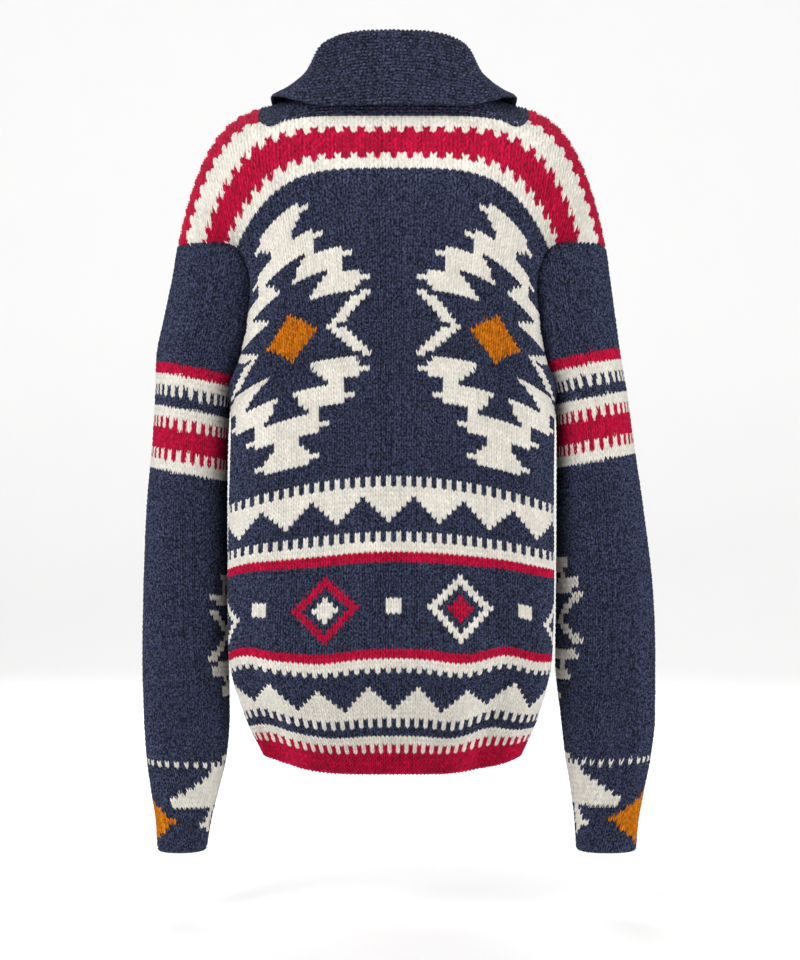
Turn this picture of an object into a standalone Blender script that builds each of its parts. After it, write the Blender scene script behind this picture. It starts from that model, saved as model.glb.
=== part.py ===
"""Hollow knitted cardigan with a wide shawl collar, in the form it has when worn.

Metres, +Z up. The fronts face -Y and the back faces +Y. The garment's left is +X.
The origin is at the middle of the back-neck seam's height, where the wearer holds it.
Rows count knitted rows down from the back-neck seam. The fronts begin above row 0,
because they wrap over the shoulder ridge to a seam that lies behind it.
"""

from collections import namedtuple
import math

import bpy
import numpy as np

for old in list(bpy.data.objects):
    bpy.data.objects.remove(old, do_unlink=True)

WALL = 0.003  # thickness of the knitted cloth
SEAM_SHIFT = 0.00018  # each piece stops this far short of its seam
RIM_OWN = 0.5  # how much a rim keeps of its own direction where two pieces meet

SHOULDER_ROW_BACK = 0
SHOULDER_ROW_FRONT = -14
UNDERARM_ROW = 44
HEM_ROW = 133
NECK_SHARE = 0.474  # share of the back's top edge, from its middle, that carries the collar

ARMHOLE_TOP = -0.127
ARMHOLE_UNDER = -0.280
ARMHOLE_SPREAD = 30.0  # degrees round the arm over which the armhole falls to its lowest
UNDERARM_ANGLE = 172.0
SHOULDER_ANGLE = 61.0
ARM_SQUARE = 2.2
FRONT_LEAN = 0.12  # how far the fronts draw in ahead of the arm, as a share of their width

HEM_SETTLE_ROW = 120  # the folds' raised rows settle from here to the hem

FOLD_RADIUS = 0.007  # the collar's roll
BREAK_ROW = 40  # the lapels begin to unroll into the flat bands
UNROLL_ROWS = 31

# Middle line of each panel: height and depth there, squareness of the row's curve in
# plan, and how late the row bends down towards its end.
Spine = namedtuple("Spine", "row height depth square bend ease")
BACK_SPINE = (
    Spine(0, 0.000, 0.078, 2.2, 6.0, 0.00),
    Spine(10, -0.055, 0.095, 2.2, 4.2, 0.00),
    Spine(20, -0.106, 0.104, 2.4, 3.2, 0.04),
    Spine(30, -0.158, 0.109, 2.6, 2.8, 0.10),
    Spine(44, -0.230, 0.112, 2.9, 2.6, 0.12),
    Spine(71, -0.367, 0.113, 2.9, 1.9, 0.10),
    Spine(88, -0.453, 0.118, 2.8, 2.0, 0.08),
    Spine(105, -0.540, 0.120, 2.8, 1.8, 0.06),
    Spine(120, -0.612, 0.098, 2.7, 2.0, 0.04),
    Spine(133, -0.672, 0.070, 2.6, 3.4, 0.03),
)
FRONT_SPINE = (
    Spine(-14, 0.000, 0.078, 2.2, 6.0, 0.0),
    Spine(-4, 0.022, 0.012, 2.2, 7.3, 0.0),
    Spine(4, 0.006, -0.035, 2.2, 5.0, 0.0),
    Spine(14, -0.035, -0.070, 2.3, 4.0, 0.0),
    Spine(28, -0.105, -0.092, 2.5, 3.2, 0.0),
    Spine(44, -0.190, -0.103, 2.8, 2.8, 0.0),
    Spine(71, -0.335, -0.108, 2.8, 2.2, 0.0),
    Spine(88, -0.430, -0.110, 2.8, 2.0, 0.0),
    Spine(105, -0.525, -0.110, 2.8, 2.0, 0.0),
    Spine(120, -0.600, -0.100, 2.7, 2.0, 0.0),
    Spine(133, -0.664, -0.085, 2.6, 2.0, 0.0),
)

# Side seam below the underarm.
Seam = namedtuple("Seam", "row left_x right_x depth height")
SIDE_SEAM = (
    Seam(52, 0.1685, 0.1660, 0.020, -0.312),
    Seam(71, 0.1700, 0.1650, 0.030, -0.397),
    Seam(88, 0.1710, 0.1650, 0.035, -0.472),
    Seam(105, 0.1700, 0.1630, 0.035, -0.549),
    Seam(120, 0.1550, 0.1500, 0.032, -0.611),
    Seam(133, 0.1350, 0.1320, 0.025, -0.656),
)

# Arm tubes: how far out each side reaches, and the depth of the back and the front.
Arm = namedtuple("Arm", "height outer_left inner_left outer_right inner_right back front")
ARM_SECTIONS = (
    Arm(-0.1000, 0.2200, 0.1440, 0.2150, 0.1440, 0.060, -0.066),
    Arm(-0.1270, 0.2265, 0.1400, 0.2215, 0.1400, 0.060, -0.068),
    Arm(-0.1600, 0.2320, 0.1360, 0.2260, 0.1360, 0.061, -0.070),
    Arm(-0.2000, 0.2405, 0.1430, 0.2315, 0.1430, 0.061, -0.072),
    Arm(-0.2450, 0.2490, 0.1560, 0.2380, 0.1540, 0.060, -0.074),
    Arm(-0.2800, 0.2500, 0.1715, 0.2440, 0.1690, 0.058, -0.074),
    Arm(-0.3300, 0.2530, 0.1755, 0.2510, 0.1720, 0.056, -0.074),
    Arm(-0.4000, 0.2595, 0.1765, 0.2615, 0.1720, 0.052, -0.074),
    Arm(-0.5000, 0.2636, 0.1765, 0.2730, 0.1715, 0.045, -0.075),
    Arm(-0.5600, 0.2646, 0.1755, 0.2750, 0.1710, 0.040, -0.075),
    Arm(-0.6200, 0.2634, 0.1745, 0.2750, 0.1770, 0.033, -0.073),
    Arm(-0.6600, 0.2612, 0.1775, 0.2710, 0.1815, 0.027, -0.070),
    Arm(-0.7000, 0.2560, 0.1865, 0.2635, 0.1880, 0.020, -0.064),
    Arm(-0.7300, 0.2515, 0.1940, 0.2580, 0.1915, 0.014, -0.059),
    Arm(-0.7616, 0.2495, 0.1990, 0.2550, 0.1935, 0.010, -0.054),
)
CUFF_HEIGHT = -0.7616

# Upright folds of the panels: share of the half panel from its middle, half width as
# a share, how deep the cloth sinks, how far its rows rise, and the rows it runs over.
Fold = namedtuple("Fold", "panel side share width sink lift first_row full_row")
FOLDS = (
    Fold("back", 1, 0.76, 0.13, 0.015, 0.006, 66, 112),
    Fold("back", -1, 0.58, 0.12, 0.012, 0.006, 80, 112),
    Fold("back", 1, 0.36, 0.16, -0.004, -0.004, 74, 108),
    Fold("back", -1, 0.34, 0.14, -0.003, -0.004, 90, 110),
    Fold("front", 1, 0.60, 0.13, 0.012, 0.004, 70, 115),
    Fold("front", -1, 0.66, 0.13, 0.011, 0.004, 62, 112),
)

# The fronts' inner edge and the collar sewn to it. Rows below the shoulder seam's are
# places along the back neck, from its middle. Columns: distance of the edge from the
# middle, width of the stand, width of the fall, how far the stand turns up out of the
# panel's surface, how far the roll turns, how far the fall flares out again, how far
# the stand follows the line of the roll given below, and how far it bows inwards.
Neck = namedtuple("Neck", "row edge_x stand fall rise turn flare led bow")
NECK_EDGE = (
    Neck(-24, 0.0000, 0.078, 0.070, 0.0, 176.0, 6.0, 1.0, 0.0),
    Neck(-19, 0.0680, 0.075, 0.068, 0.0, 176.0, 8.0, 1.0, 3.0),
    Neck(-16.5, 0.1030, 0.075, 0.060, 0.0, 172.0, 18.0, 1.0, 8.0),
    Neck(-14, 0.1370, 0.080, 0.054, 0.0, 166.0, 32.0, 1.0, 18.0),
    Neck(-4, 0.1390, 0.074, 0.058, 0.0, 166.0, 32.0, 1.0, 21.0),
    Neck(4, 0.1260, 0.068, 0.064, 0.0, 172.0, 20.0, 1.0, 14.0),
    Neck(14, 0.1050, 0.062, 0.068, 24.0, 173.0, 0.0, 0.0, 0.0),
    Neck(28, 0.0760, 0.050, 0.062, 12.0, 178.0, 0.0, 0.0, 0.0),
    Neck(40, 0.0530, 0.036, 0.040, 6.0, 180.0, 0.0, 0.0, 0.0),
    Neck(50, 0.0390, 0.025, 0.008, 2.0, 180.0, 0.0, 0.0, 0.0),
    Neck(57, 0.0365, 0.022, 0.000, 0.0, 180.0, 0.0, 0.0, 0.0),
    Neck(64, 0.0360, 0.026, 0.000, 0.0, 180.0, 0.0, 0.0, 0.0),
    Neck(71, 0.0360, 0.031, 0.000, 0.0, 180.0, 0.0, 0.0, 0.0),
    Neck(133, 0.0350, 0.031, 0.000, 0.0, 180.0, 0.0, 0.0, 0.0),
)

# Line of the collar's roll round the neck.
Roll = namedtuple("Roll", "row x y z")
NECK_ROLL = (
    Roll(-24, 0.0000, 0.074, 0.0783),
    Roll(-21.1, 0.0360, 0.073, 0.0772),
    Roll(-18.3, 0.0580, 0.068, 0.0720),
    Roll(-16.9, 0.0640, 0.062, 0.0665),
    Roll(-15.4, 0.0670, 0.055, 0.0615),
    Roll(-14, 0.0680, 0.047, 0.0575),
    Roll(-10, 0.0685, 0.037, 0.0540),
    Roll(-6, 0.0690, 0.026, 0.0510),
    Roll(-2, 0.0690, 0.012, 0.0475),
    Roll(2, 0.0680, -0.005, 0.0420),
    Roll(6, 0.0670, -0.024, 0.0320),
    Roll(10, 0.0655, -0.044, 0.0170),
)
BACK_NECK_ROW = -24

ROWS_BACK_UPPER = tuple(range(0, UNDERARM_ROW + 1, 4))
ROWS_FRONT_UPPER = (-14, -10, -6, -2, 2, 6, 10, 15, 20, 25, 30, 35, 40, 44)
ROWS_LOWER = (50, 57, 64, 71, 79, 88, 96, 105, 112, 119, 126, 133)
COLUMN_SHARES = (0.0, 0.09, 0.18, 0.27, 0.36, 0.45, 0.54, 0.63, 0.71, 0.79, 0.86, 0.93, 1.0)
NECK_COLUMNS = 7
SLEEVE_RINGS = 26
STAND_POINTS = 6
ROLL_POINTS = 5
FALL_POINTS = 4

NAVY = (0.028, 0.035, 0.085, 1.0)
MIDNIGHT = (0.022, 0.028, 0.065, 1.0)


def smooth(table, key, column, at):
    """Value of a table's column at a key, by a cubic that doesn't overshoot."""
    keys = np.array([getattr(row, key) for row in table], dtype=float)
    values = np.array([getattr(row, column) for row in table], dtype=float)
    return cubic(keys, values, at)


def cubic(keys, values, at):
    """Monotone cubic through points, for one key or an array of them."""
    if keys[0] > keys[-1]:
        keys, values = keys[::-1], values[::-1]
    step = np.diff(keys)
    slope = np.diff(values) / step
    tangent = np.zeros(len(values))
    tangent[0], tangent[-1] = slope[0], slope[-1]
    same = slope[:-1] * slope[1:] > 0
    mean = 2.0 * slope[:-1] * slope[1:] / np.where(same, slope[:-1] + slope[1:], 1.0)
    tangent[1:-1] = np.where(same, mean, 0.0)
    place = np.clip(np.searchsorted(keys, at) - 1, 0, len(step) - 1)
    part = np.clip((at - keys[place]) / step[place], 0.0, 1.0)
    start = (1 + 2 * part) * (1 - part) ** 2 * values[place]
    start = start + part * (1 - part) ** 2 * step[place] * tangent[place]
    finish = part**2 * (3 - 2 * part) * values[place + 1]
    finish = finish + part**2 * (part - 1) * step[place] * tangent[place + 1]
    return start + finish


def ramp(value, low, high):
    """Soft step from 0 at low to 1 at high."""
    part = min(max((value - low) / (high - low), 0.0), 1.0)
    return part * part * (3 - 2 * part)


def unit(vector):
    """Vector of length 1 along the last axis."""
    return vector / np.linalg.norm(vector, axis=-1, keepdims=True)


def signed_power(value, power):
    """Power that keeps the sign of its base."""
    return math.copysign(abs(value) ** power, value)


def arm_point(side, height, angle):
    """Point on an arm tube; angle 0 is its outer side and 90 its back."""
    name = "left" if side > 0 else "right"
    outer = smooth(ARM_SECTIONS, "height", "outer_" + name, height)
    inner = smooth(ARM_SECTIONS, "height", "inner_" + name, height)
    back = smooth(ARM_SECTIONS, "height", "back", height)
    front = smooth(ARM_SECTIONS, "height", "front", height)
    turn = math.radians(angle)
    across = signed_power(math.cos(turn), 2 / ARM_SQUARE)
    along = signed_power(math.sin(turn), 2 / ARM_SQUARE)
    x = (outer + inner) / 2 + (outer - inner) / 2 * across
    y = (back + front) / 2 + (back - front) / 2 * along
    return np.array((side * x, y, height))


def armhole_height(angle):
    """Height of the armhole seam round the arm."""
    away = (angle - UNDERARM_ANGLE + 180.0) % 360.0 - 180.0
    fall = math.exp(-((away / ARMHOLE_SPREAD) ** 2))
    return ARMHOLE_TOP + (ARMHOLE_UNDER - ARMHOLE_TOP) * fall


def armhole_track(side, front):
    """Angles and points along one half of the armhole, from shoulder to underarm."""
    end = UNDERARM_ANGLE - 360.0 if front else UNDERARM_ANGLE
    angles = np.linspace(SHOULDER_ANGLE, end, 241)
    points = np.array([arm_point(side, armhole_height(a), a) for a in angles])
    steps = np.linalg.norm(np.diff(points, axis=0), axis=1)
    return angles, points, np.concatenate(([0.0], np.cumsum(steps)))


class Panel:
    """One half of the back or one front, as a surface over rows and shares."""

    def __init__(self, front, side):
        self.front = front
        self.side = side
        self.spine = FRONT_SPINE if front else BACK_SPINE
        self.top_row = SHOULDER_ROW_FRONT if front else SHOULDER_ROW_BACK
        self.angles, points, lengths = armhole_track(side, front)
        rows = list(range(self.top_row, UNDERARM_ROW + 1, 2))
        shares = [(r - self.top_row) / (UNDERARM_ROW - self.top_row) for r in rows]
        self.armhole_shares = lengths / lengths[-1]
        edge = [[np.interp(s, self.armhole_shares, points[:, i]) for i in range(3)] for s in shares]
        name = "left_x" if side > 0 else "right_x"
        for seam in SIDE_SEAM:
            rows.append(seam.row)
            edge.append([side * getattr(seam, name), seam.depth, seam.height])
        self.edge_rows = np.array(rows, dtype=float)
        self.edge = np.array(edge)
        self.seam_start = rows.index(UNDERARM_ROW)

    def angle_at(self, row):
        """Angle round the arm where a row meets the armhole."""
        share = (row - self.top_row) / (UNDERARM_ROW - self.top_row)
        return float(np.interp(share, self.armhole_shares, self.angles))

    def curve(self, row):
        """Dense points along a row from the middle line to its end."""
        height = float(smooth(self.spine, "row", "height", row))
        depth = float(smooth(self.spine, "row", "depth", row))
        square = float(smooth(self.spine, "row", "square", row))
        bend = float(smooth(self.spine, "row", "bend", row))
        part = slice(self.seam_start, None) if row >= UNDERARM_ROW else slice(self.seam_start + 1)
        end = [float(cubic(self.edge_rows[part], self.edge[part, i], row)) for i in range(3)]
        turn = np.linspace(0.0, math.pi / 2, 181)
        out = np.sin(turn) ** (2 / square)
        keep = np.clip(np.cos(turn), 0.0, 1.0) ** (2 / square)
        lean = FRONT_LEAN * ramp(row, 5, 25) if self.front else 0.0
        x = end[0] * (out - lean * keep * out**4)
        y = end[1] + (depth - end[1]) * keep
        z = height - (height - end[2]) * out**bend
        points = np.stack((x, y, z), axis=1)
        steps = np.linalg.norm(np.diff(points, axis=0), axis=1)
        return points, np.concatenate(([0.0], np.cumsum(steps)))

    def at(self, row, share):
        """Outer point of the cloth at a row and a share of the half panel."""
        points, lengths = self.curve(row)
        ease = float(smooth(self.spine, "row", "ease", row))
        share = min(max(share, 0.0), 1.0)
        eased = (1 - ease) * share + ease * share**5
        place = [np.interp(eased * lengths[-1], lengths, points[:, i]) for i in range(3)]
        outward = -1.0 if self.front else 1.0
        for fold in FOLDS:
            if fold.panel != ("front" if self.front else "back") or fold.side != self.side:
                continue
            near = math.exp(-(((share - fold.share) / fold.width) ** 2))
            near *= ramp(row, fold.first_row, fold.full_row) * (1 - ramp(share, 0.9, 1.0))
            place[1] -= outward * fold.sink * near
            settle = 1 - ramp(row, HEM_SETTLE_ROW, HEM_ROW)
            place[2] += fold.lift * near * settle
        return np.array(place)

    def share_at_x(self, row, x):
        """Share of the half panel where a row is at a distance from the middle."""
        points, lengths = self.curve(row)
        return float(np.interp(x, np.abs(points[:, 0]), lengths / lengths[-1]))

    def normal(self, row, share):
        """Outward direction of the cloth."""
        step_row, step_share = 0.6, 0.006
        row_low, row_high = max(row - step_row, self.top_row), min(row + step_row, HEM_ROW)
        low, high = max(share - step_share, 0.0), min(share + step_share, 1.0)
        down = self.at(row_high, share) - self.at(row_low, share)
        across = self.at(row, high) - self.at(row, low)
        turn = 1.0 if self.front else -1.0
        return unit(np.cross(down, across) * turn * self.side)


PANELS = {(front, side): Panel(front, side) for front in (False, True) for side in (1, -1)}


def neck_share(side, row):
    """Share of a front's row where its inner edge lies."""
    if row <= SHOULDER_ROW_FRONT:
        return NECK_SHARE
    x = float(smooth(NECK_EDGE, "row", "edge_x", row))
    found = PANELS[(True, side)].share_at_x(row, x)
    start = ramp(row, SHOULDER_ROW_FRONT, SHOULDER_ROW_FRONT + 8)
    return NECK_SHARE * (1 - start) + found * start


def sleeve_normal(side, angle, height):
    """Outward direction of an arm tube."""
    turn = arm_point(side, height, angle + 1.0) - arm_point(side, height, angle - 1.0)
    drop = arm_point(side, height - 0.004, angle) - arm_point(side, height + 0.004, angle)
    return unit(np.cross(turn, drop) * -side)


def armhole_rim(front, side, row):
    """Outward directions of panel and sleeve at the armhole, drawn to each other, and
    the way to the panel's side of the seam."""
    panel = PANELS[(front, side)]
    beside = PANELS[(not front, side)]
    own = panel.normal(row, 1.0)
    if row <= panel.top_row:
        own = unit(own + beside.normal(beside.top_row, 1.0))
    elif row >= UNDERARM_ROW:
        own = unit(own + beside.normal(row, 1.0))
    angle = panel.angle_at(row)
    sleeve = sleeve_normal(side, angle, armhole_height(angle))
    after, before = angle + 1.0, angle - 1.0
    tangent = arm_point(side, armhole_height(after), after)
    tangent = unit(tangent - arm_point(side, armhole_height(before), before))
    into_panel = unit(np.cross(own, tangent)) * side
    into_sleeve = unit(np.cross(sleeve, tangent)) * -side
    shared = own + sleeve
    keep = 0.0
    if np.dot(own, into_sleeve) > 0:
        shared = shared + into_panel + into_sleeve
        keep = RIM_OWN * (1 - np.dot(own, sleeve)) / 2
    shared = unit(shared)
    apart = unit(into_panel - into_sleeve)
    return unit(shared + keep * own), unit(shared + keep * sleeve), apart


def panel_rim(front, side, row, share):
    """Outward direction and seam shift of a panel's cloth at a row and share."""
    panel = PANELS[(front, side)]
    beside = PANELS[(not front, side)]
    out = panel.normal(row, share)
    shift = np.zeros(3)
    if row <= panel.top_row and share >= NECK_SHARE - 1e-6:
        out = unit(out + beside.normal(beside.top_row, share))
        shift = shift + unit(panel.at(row + 1.0, share) - panel.at(row, share))
    if share >= 1.0 and row >= UNDERARM_ROW:
        out = unit(out + beside.normal(row, share))
        inward = panel.at(row, 0.99) - panel.at(row, 1.0)
        away = beside.at(row, 0.99) - beside.at(row, 1.0)
        shift = shift + unit(unit(inward) - unit(away))
    if share >= 1.0 and row <= UNDERARM_ROW:
        out, _, apart = armhole_rim(front, side, row)
        shift = shift + apart
    return out, shift * SEAM_SHIFT


def make_object(name, vertices, faces, color):
    """Closed mesh object with its own cloth material."""
    mesh = bpy.data.meshes.new(name)
    mesh.from_pydata([tuple(map(float, v)) for v in vertices], [], faces)
    mesh.validate()
    material = bpy.data.materials.new(name + "_cloth")
    material.use_nodes = True
    shader = material.node_tree.nodes["Principled BSDF"]
    shader.inputs["Base Color"].default_value = color
    shader.inputs["Roughness"].default_value = 0.95
    shader.inputs["Metallic"].default_value = 0.0
    mesh.materials.append(material)
    made = bpy.data.objects.new(name, mesh)
    bpy.context.scene.collection.objects.link(made)
    return made


def wall_from_grid(name, outer, inner, closed_round, flip, color, rising=()):
    """Join an outer and an inner grid of points into one wall with its rims.

    Every face is a triangle, so that two pieces meet alike at a seam: a rim's diagonal
    runs from the outer point of the upper row to the inner point of the lower one, and
    both faces of the wall are split along the outer face's shorter diagonal. rising
    holds the columns of the top rim whose rows rise.
    """
    outer, inner = np.asarray(outer), np.asarray(inner)
    rows, columns = outer.shape[:2]
    vertices = np.concatenate((outer.reshape(-1, 3), inner.reshape(-1, 3)))
    shift = rows * columns
    faces = []

    def add(a, b, c, d):
        """Quad split along the diagonal from its first to its third corner."""
        for face in ((a, b, c), (a, c, d)):
            faces.append(face[::-1] if flip else face)

    last = columns if closed_round else columns - 1
    for i in range(rows - 1):
        for j in range(last):
            k = (j + 1) % columns
            corners = [i * columns + j, i * columns + k, (i + 1) * columns + k, (i + 1) * columns + j]
            a, b, c, d = (vertices[n] for n in corners)
            if np.linalg.norm(a - c) > np.linalg.norm(b - d):
                corners = corners[1:] + corners[:1]
            a, b, c, d = corners
            add(a, b, c, d)
            add(c + shift, b + shift, a + shift, d + shift)
    for j in range(last):
        k = (j + 1) % columns
        if j in rising:
            add(j + shift, k + shift, k, j)
        else:
            add(j, j + shift, k + shift, k)
        base = (rows - 1) * columns
        add(base + j, base + k, base + k + shift, base + j + shift)
    if not closed_round:
        for i in range(rows - 1):
            a, d = i * columns, (i + 1) * columns
            add(a, d, d + shift, a + shift)
            b, c = a + columns - 1, d + columns - 1
            add(b, b + shift, c + shift, c)
    return make_object(name, vertices, faces, color)


def panel_places(front, side, rows, shares_at):
    """Outer and inner points of one panel, drawn back from its seams."""
    panel = PANELS[(front, side)]
    outer, inner = [], []
    for row in rows:
        shares = shares_at(row)
        rims = [panel_rim(front, side, row, s) for s in shares]
        points = [panel.at(row, s) + rim[1] for s, rim in zip(shares, rims)]
        if front:
            points[0] = points[0] + unit(points[1] - points[0]) * SEAM_SHIFT
        elif row == panel.top_row:
            for i in range(NECK_COLUMNS):
                lower = panel.at(row + 1.0, shares[i])
                points[i] = points[i] + unit(lower - points[i]) * SEAM_SHIFT
        outer.append(points)
        inner.append([p - WALL * rim[0] for p, rim in zip(points, rims)])
    return outer, inner


def back_shares(row):
    """Shares of the half back at which its columns lie."""
    neck = [NECK_SHARE * i / NECK_COLUMNS for i in range(NECK_COLUMNS)]
    return neck + [NECK_SHARE + (1 - NECK_SHARE) * s for s in COLUMN_SHARES]


def make_back():
    """The back as one wall, both halves joined at the middle line."""
    rows = ROWS_BACK_UPPER + ROWS_LOWER
    left = panel_places(False, 1, rows, back_shares)
    right = panel_places(False, -1, rows, back_shares)
    outer = [list(reversed(r[1:])) + l for r, l in zip(right[0], left[0])]
    inner = [list(reversed(r[1:])) + l for r, l in zip(right[1], left[1])]
    return wall_from_grid("back", outer, inner, False, False, NAVY)


def front_shares(side):
    """Column shares of a front, from its inner edge to its outer end."""

    def shares_at(row):
        edge = neck_share(side, row)
        return [edge + (1 - edge) * s for s in COLUMN_SHARES]

    return shares_at


def make_front(side):
    """One front, over the shoulder ridge to the shoulder seam."""
    rows = ROWS_FRONT_UPPER + ROWS_LOWER
    outer, inner = panel_places(True, side, rows, front_shares(side))
    name = "front_left" if side > 0 else "front_right"
    return wall_from_grid(name, outer, inner, False, side > 0, NAVY)


def sleeve_angles(side):
    """Angles round the arm at the rows that end on the armhole."""
    back = [(PANELS[(False, side)].angle_at(r), False, r) for r in ROWS_BACK_UPPER]
    front = [(PANELS[(True, side)].angle_at(r), True, r) for r in ROWS_FRONT_UPPER[1:-1]]
    return back + [front[i] for i in range(len(front) - 1, -1, -1)]


def make_sleeve(side):
    """One sleeve, from the armhole to the cuff."""
    stations = sleeve_angles(side)
    outer, inner = [], []
    for ring in range(SLEEVE_RINGS):
        part = ring / (SLEEVE_RINGS - 1)
        points, walls = [], []
        for angle, front, row in stations:
            top = armhole_height(angle)
            height = top + (CUFF_HEIGHT - top) * part
            place = arm_point(side, height, angle)
            out = sleeve_normal(side, angle, height)
            if ring == 0:
                _, out, apart = armhole_rim(front, side, row)
                place = place - apart * SEAM_SHIFT
            points.append(place)
            walls.append(place - WALL * out)
        outer.append(points)
        inner.append(walls)
    name = "sleeve_left" if side > 0 else "sleeve_right"
    rising = range(len(ROWS_BACK_UPPER) - 1, len(stations))
    return wall_from_grid(name, outer, inner, True, side > 0, NAVY, rising)


def collar_profile(stand, fall, rise, turn, flare, bow, rolled):
    """Middle line of the collar's section: along the stand's way, and out of it."""
    samples = 60
    turn = (turn + flare / 2) * rolled
    arc = FOLD_RADIUS * math.radians(turn)
    total = stand + arc + fall
    steps = np.linspace(0.0, total, samples)
    bowed = bow * rolled * (2 * np.clip(steps / stand, 0.0, 1.0) - 1)
    angles = rise + bowed + turn * np.clip((steps - stand) / max(arc, 1e-9), 0.0, 1.0)
    angles = angles - flare * np.clip((steps - stand - arc) / max(fall, 1e-9), 0.0, 1.0)
    turned = np.radians((angles[:-1] + angles[1:]) / 2)
    length = np.diff(steps)
    along = np.concatenate(([0.0], np.cumsum(np.cos(turned) * length)))
    out = np.concatenate(([0.0], np.cumsum(np.sin(turned) * length)))
    parts = (
        np.linspace(0.0, stand, STAND_POINTS),
        np.linspace(stand, stand + arc, ROLL_POINTS + 1)[1:],
        np.linspace(stand + arc, total, FALL_POINTS + 1)[1:],
    )
    places = np.concatenate(parts)
    even = np.linspace(0.0, total, len(places))
    places = places * rolled + even * (1 - rolled)
    angle = np.radians(np.interp(places, steps, angles))
    return np.interp(places, steps, along), np.interp(places, steps, out), angle


def collar_station(panel, row, share, base, own_out, edge, key):
    """Base point, the stand's way, outward way, sizes, the seam's own directions, and
    how far the stand follows the line of the roll."""
    side = panel.side
    own_away = unit(np.cross(edge, own_out) * side)
    led = float(smooth(NECK_EDGE, "row", "led", key))
    way = np.array([float(smooth(NECK_ROLL, "row", c, key)) for c in ("x", "y", "z")])
    way[0] *= side
    way = way - base
    away = unit(own_away * (1 - led) + unit(way) * led)
    out = unit(own_out - away * np.dot(own_out, away))
    names = ("stand", "fall", "rise", "turn", "flare", "bow")
    sizes = [float(smooth(NECK_EDGE, "row", c, key)) for c in names]
    sizes[0] = sizes[0] * (1 - led) + float(np.linalg.norm(way)) * led
    rolled = 1 - ramp(row, BREAK_ROW, BREAK_ROW + UNROLL_ROWS)
    return [base, away, out, sizes + [rolled], own_away, own_out, led]


def collar_stations():
    """Places along the neck, from the right hem round to the left hem."""
    half = {}
    for side in (1, -1):
        found = []
        back = PANELS[(False, side)]
        for i in range(NECK_COLUMNS):
            share = NECK_SHARE * i / NECK_COLUMNS
            base, out = back.at(0, share), back.normal(0, share)
            edge = back.at(0, share + 0.01) - back.at(0, max(share - 0.01, 0.0))
            part = i / NECK_COLUMNS
            key = BACK_NECK_ROW * (1 - part) + SHOULDER_ROW_FRONT * part
            found.append(collar_station(back, SHOULDER_ROW_BACK, share, base, out, edge, key))
        front = PANELS[(True, side)]
        for row in ROWS_FRONT_UPPER + ROWS_LOWER:
            share = neck_share(side, row)
            base, out = front.at(row, share), panel_rim(True, side, row, share)[0]
            high, low = max(row - 1, SHOULDER_ROW_FRONT), min(row + 1, HEM_ROW)
            edge = front.at(low, neck_share(side, low)) - front.at(high, neck_share(side, high))
            found.append(collar_station(front, row, share, base, out, edge, row))
        half[side] = found
    line = list(reversed(half[-1][1:])) + half[1]
    for index in (1, 2, 2, 2):
        kept = [station[index] for station in line]
        for i in range(1, len(line) - 1):
            line[i][index] = unit(kept[i - 1] + 2 * kept[i] + kept[i + 1])
    tips = [station[0] + station[1] * station[3][0] for station in line]
    for i in range(1, len(line) - 1):
        away, out, led = line[i][1], line[i][2], line[i][6]
        across = unit(np.cross(tips[i + 1] - tips[i - 1], away))
        across = math.copysign(1.0, np.dot(across, out)) * across
        line[i][2] = unit(out * (1 - led) + across * led)
    for station in line:
        station[2] = unit(station[2] - station[1] * np.dot(station[1], station[2]))
    return [station[:6] for station in line]


def make_collar():
    """Stand, roll and fall as one strip, which runs on as the front bands."""
    outer, inner = [], []
    for base, away, out, sizes, seam_away, seam_out in collar_stations():
        along, rise, angle = collar_profile(*sizes)
        middle_along = along + SEAM_SHIFT
        middle_out = rise - WALL / 2
        first = [base + seam_away * SEAM_SHIFT]
        second = [first[0] - seam_out * WALL]
        for a, n, t in list(zip(middle_along, middle_out, angle))[1:]:
            side_a, side_n = -math.sin(t) * WALL / 2, math.cos(t) * WALL / 2
            first.append(base + away * (a + side_a) + out * (n + side_n))
            second.append(base + away * (a - side_a) + out * (n - side_n))
        outer.append(first)
        inner.append(second)
    return wall_from_grid("collar", outer, inner, False, False, MIDNIGHT)


make_back()
make_front(1)
make_front(-1)
make_sleeve(1)
make_sleeve(-1)
make_collar()
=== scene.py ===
import logging
import math
from collections.abc import Callable
from dataclasses import dataclass, field
from enum import Enum, IntEnum

import bpy
import numpy as np
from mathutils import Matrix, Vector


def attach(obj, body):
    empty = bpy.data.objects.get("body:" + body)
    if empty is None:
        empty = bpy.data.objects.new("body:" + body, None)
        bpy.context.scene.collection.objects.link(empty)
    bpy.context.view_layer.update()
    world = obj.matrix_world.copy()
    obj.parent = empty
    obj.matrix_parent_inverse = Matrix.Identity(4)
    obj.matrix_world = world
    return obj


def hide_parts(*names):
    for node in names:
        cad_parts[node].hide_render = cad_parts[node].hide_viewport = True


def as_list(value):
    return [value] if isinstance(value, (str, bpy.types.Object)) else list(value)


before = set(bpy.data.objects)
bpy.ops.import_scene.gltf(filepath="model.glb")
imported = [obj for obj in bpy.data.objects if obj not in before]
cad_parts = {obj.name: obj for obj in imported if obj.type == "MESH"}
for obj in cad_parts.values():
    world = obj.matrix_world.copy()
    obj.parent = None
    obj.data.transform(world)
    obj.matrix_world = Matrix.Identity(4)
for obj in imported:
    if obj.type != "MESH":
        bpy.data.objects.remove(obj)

log = logging.getLogger("cardigan")
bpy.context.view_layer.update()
Array = np.ndarray


class Side(IntEnum):
    """Which half of the garment a piece belongs to, as the wearer sees it."""

    LEFT = 1
    RIGHT = -1

    @property
    def word(self) -> str:
        """Name of the side, as the pieces are named."""
        return "left" if self is Side.LEFT else "right"


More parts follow.
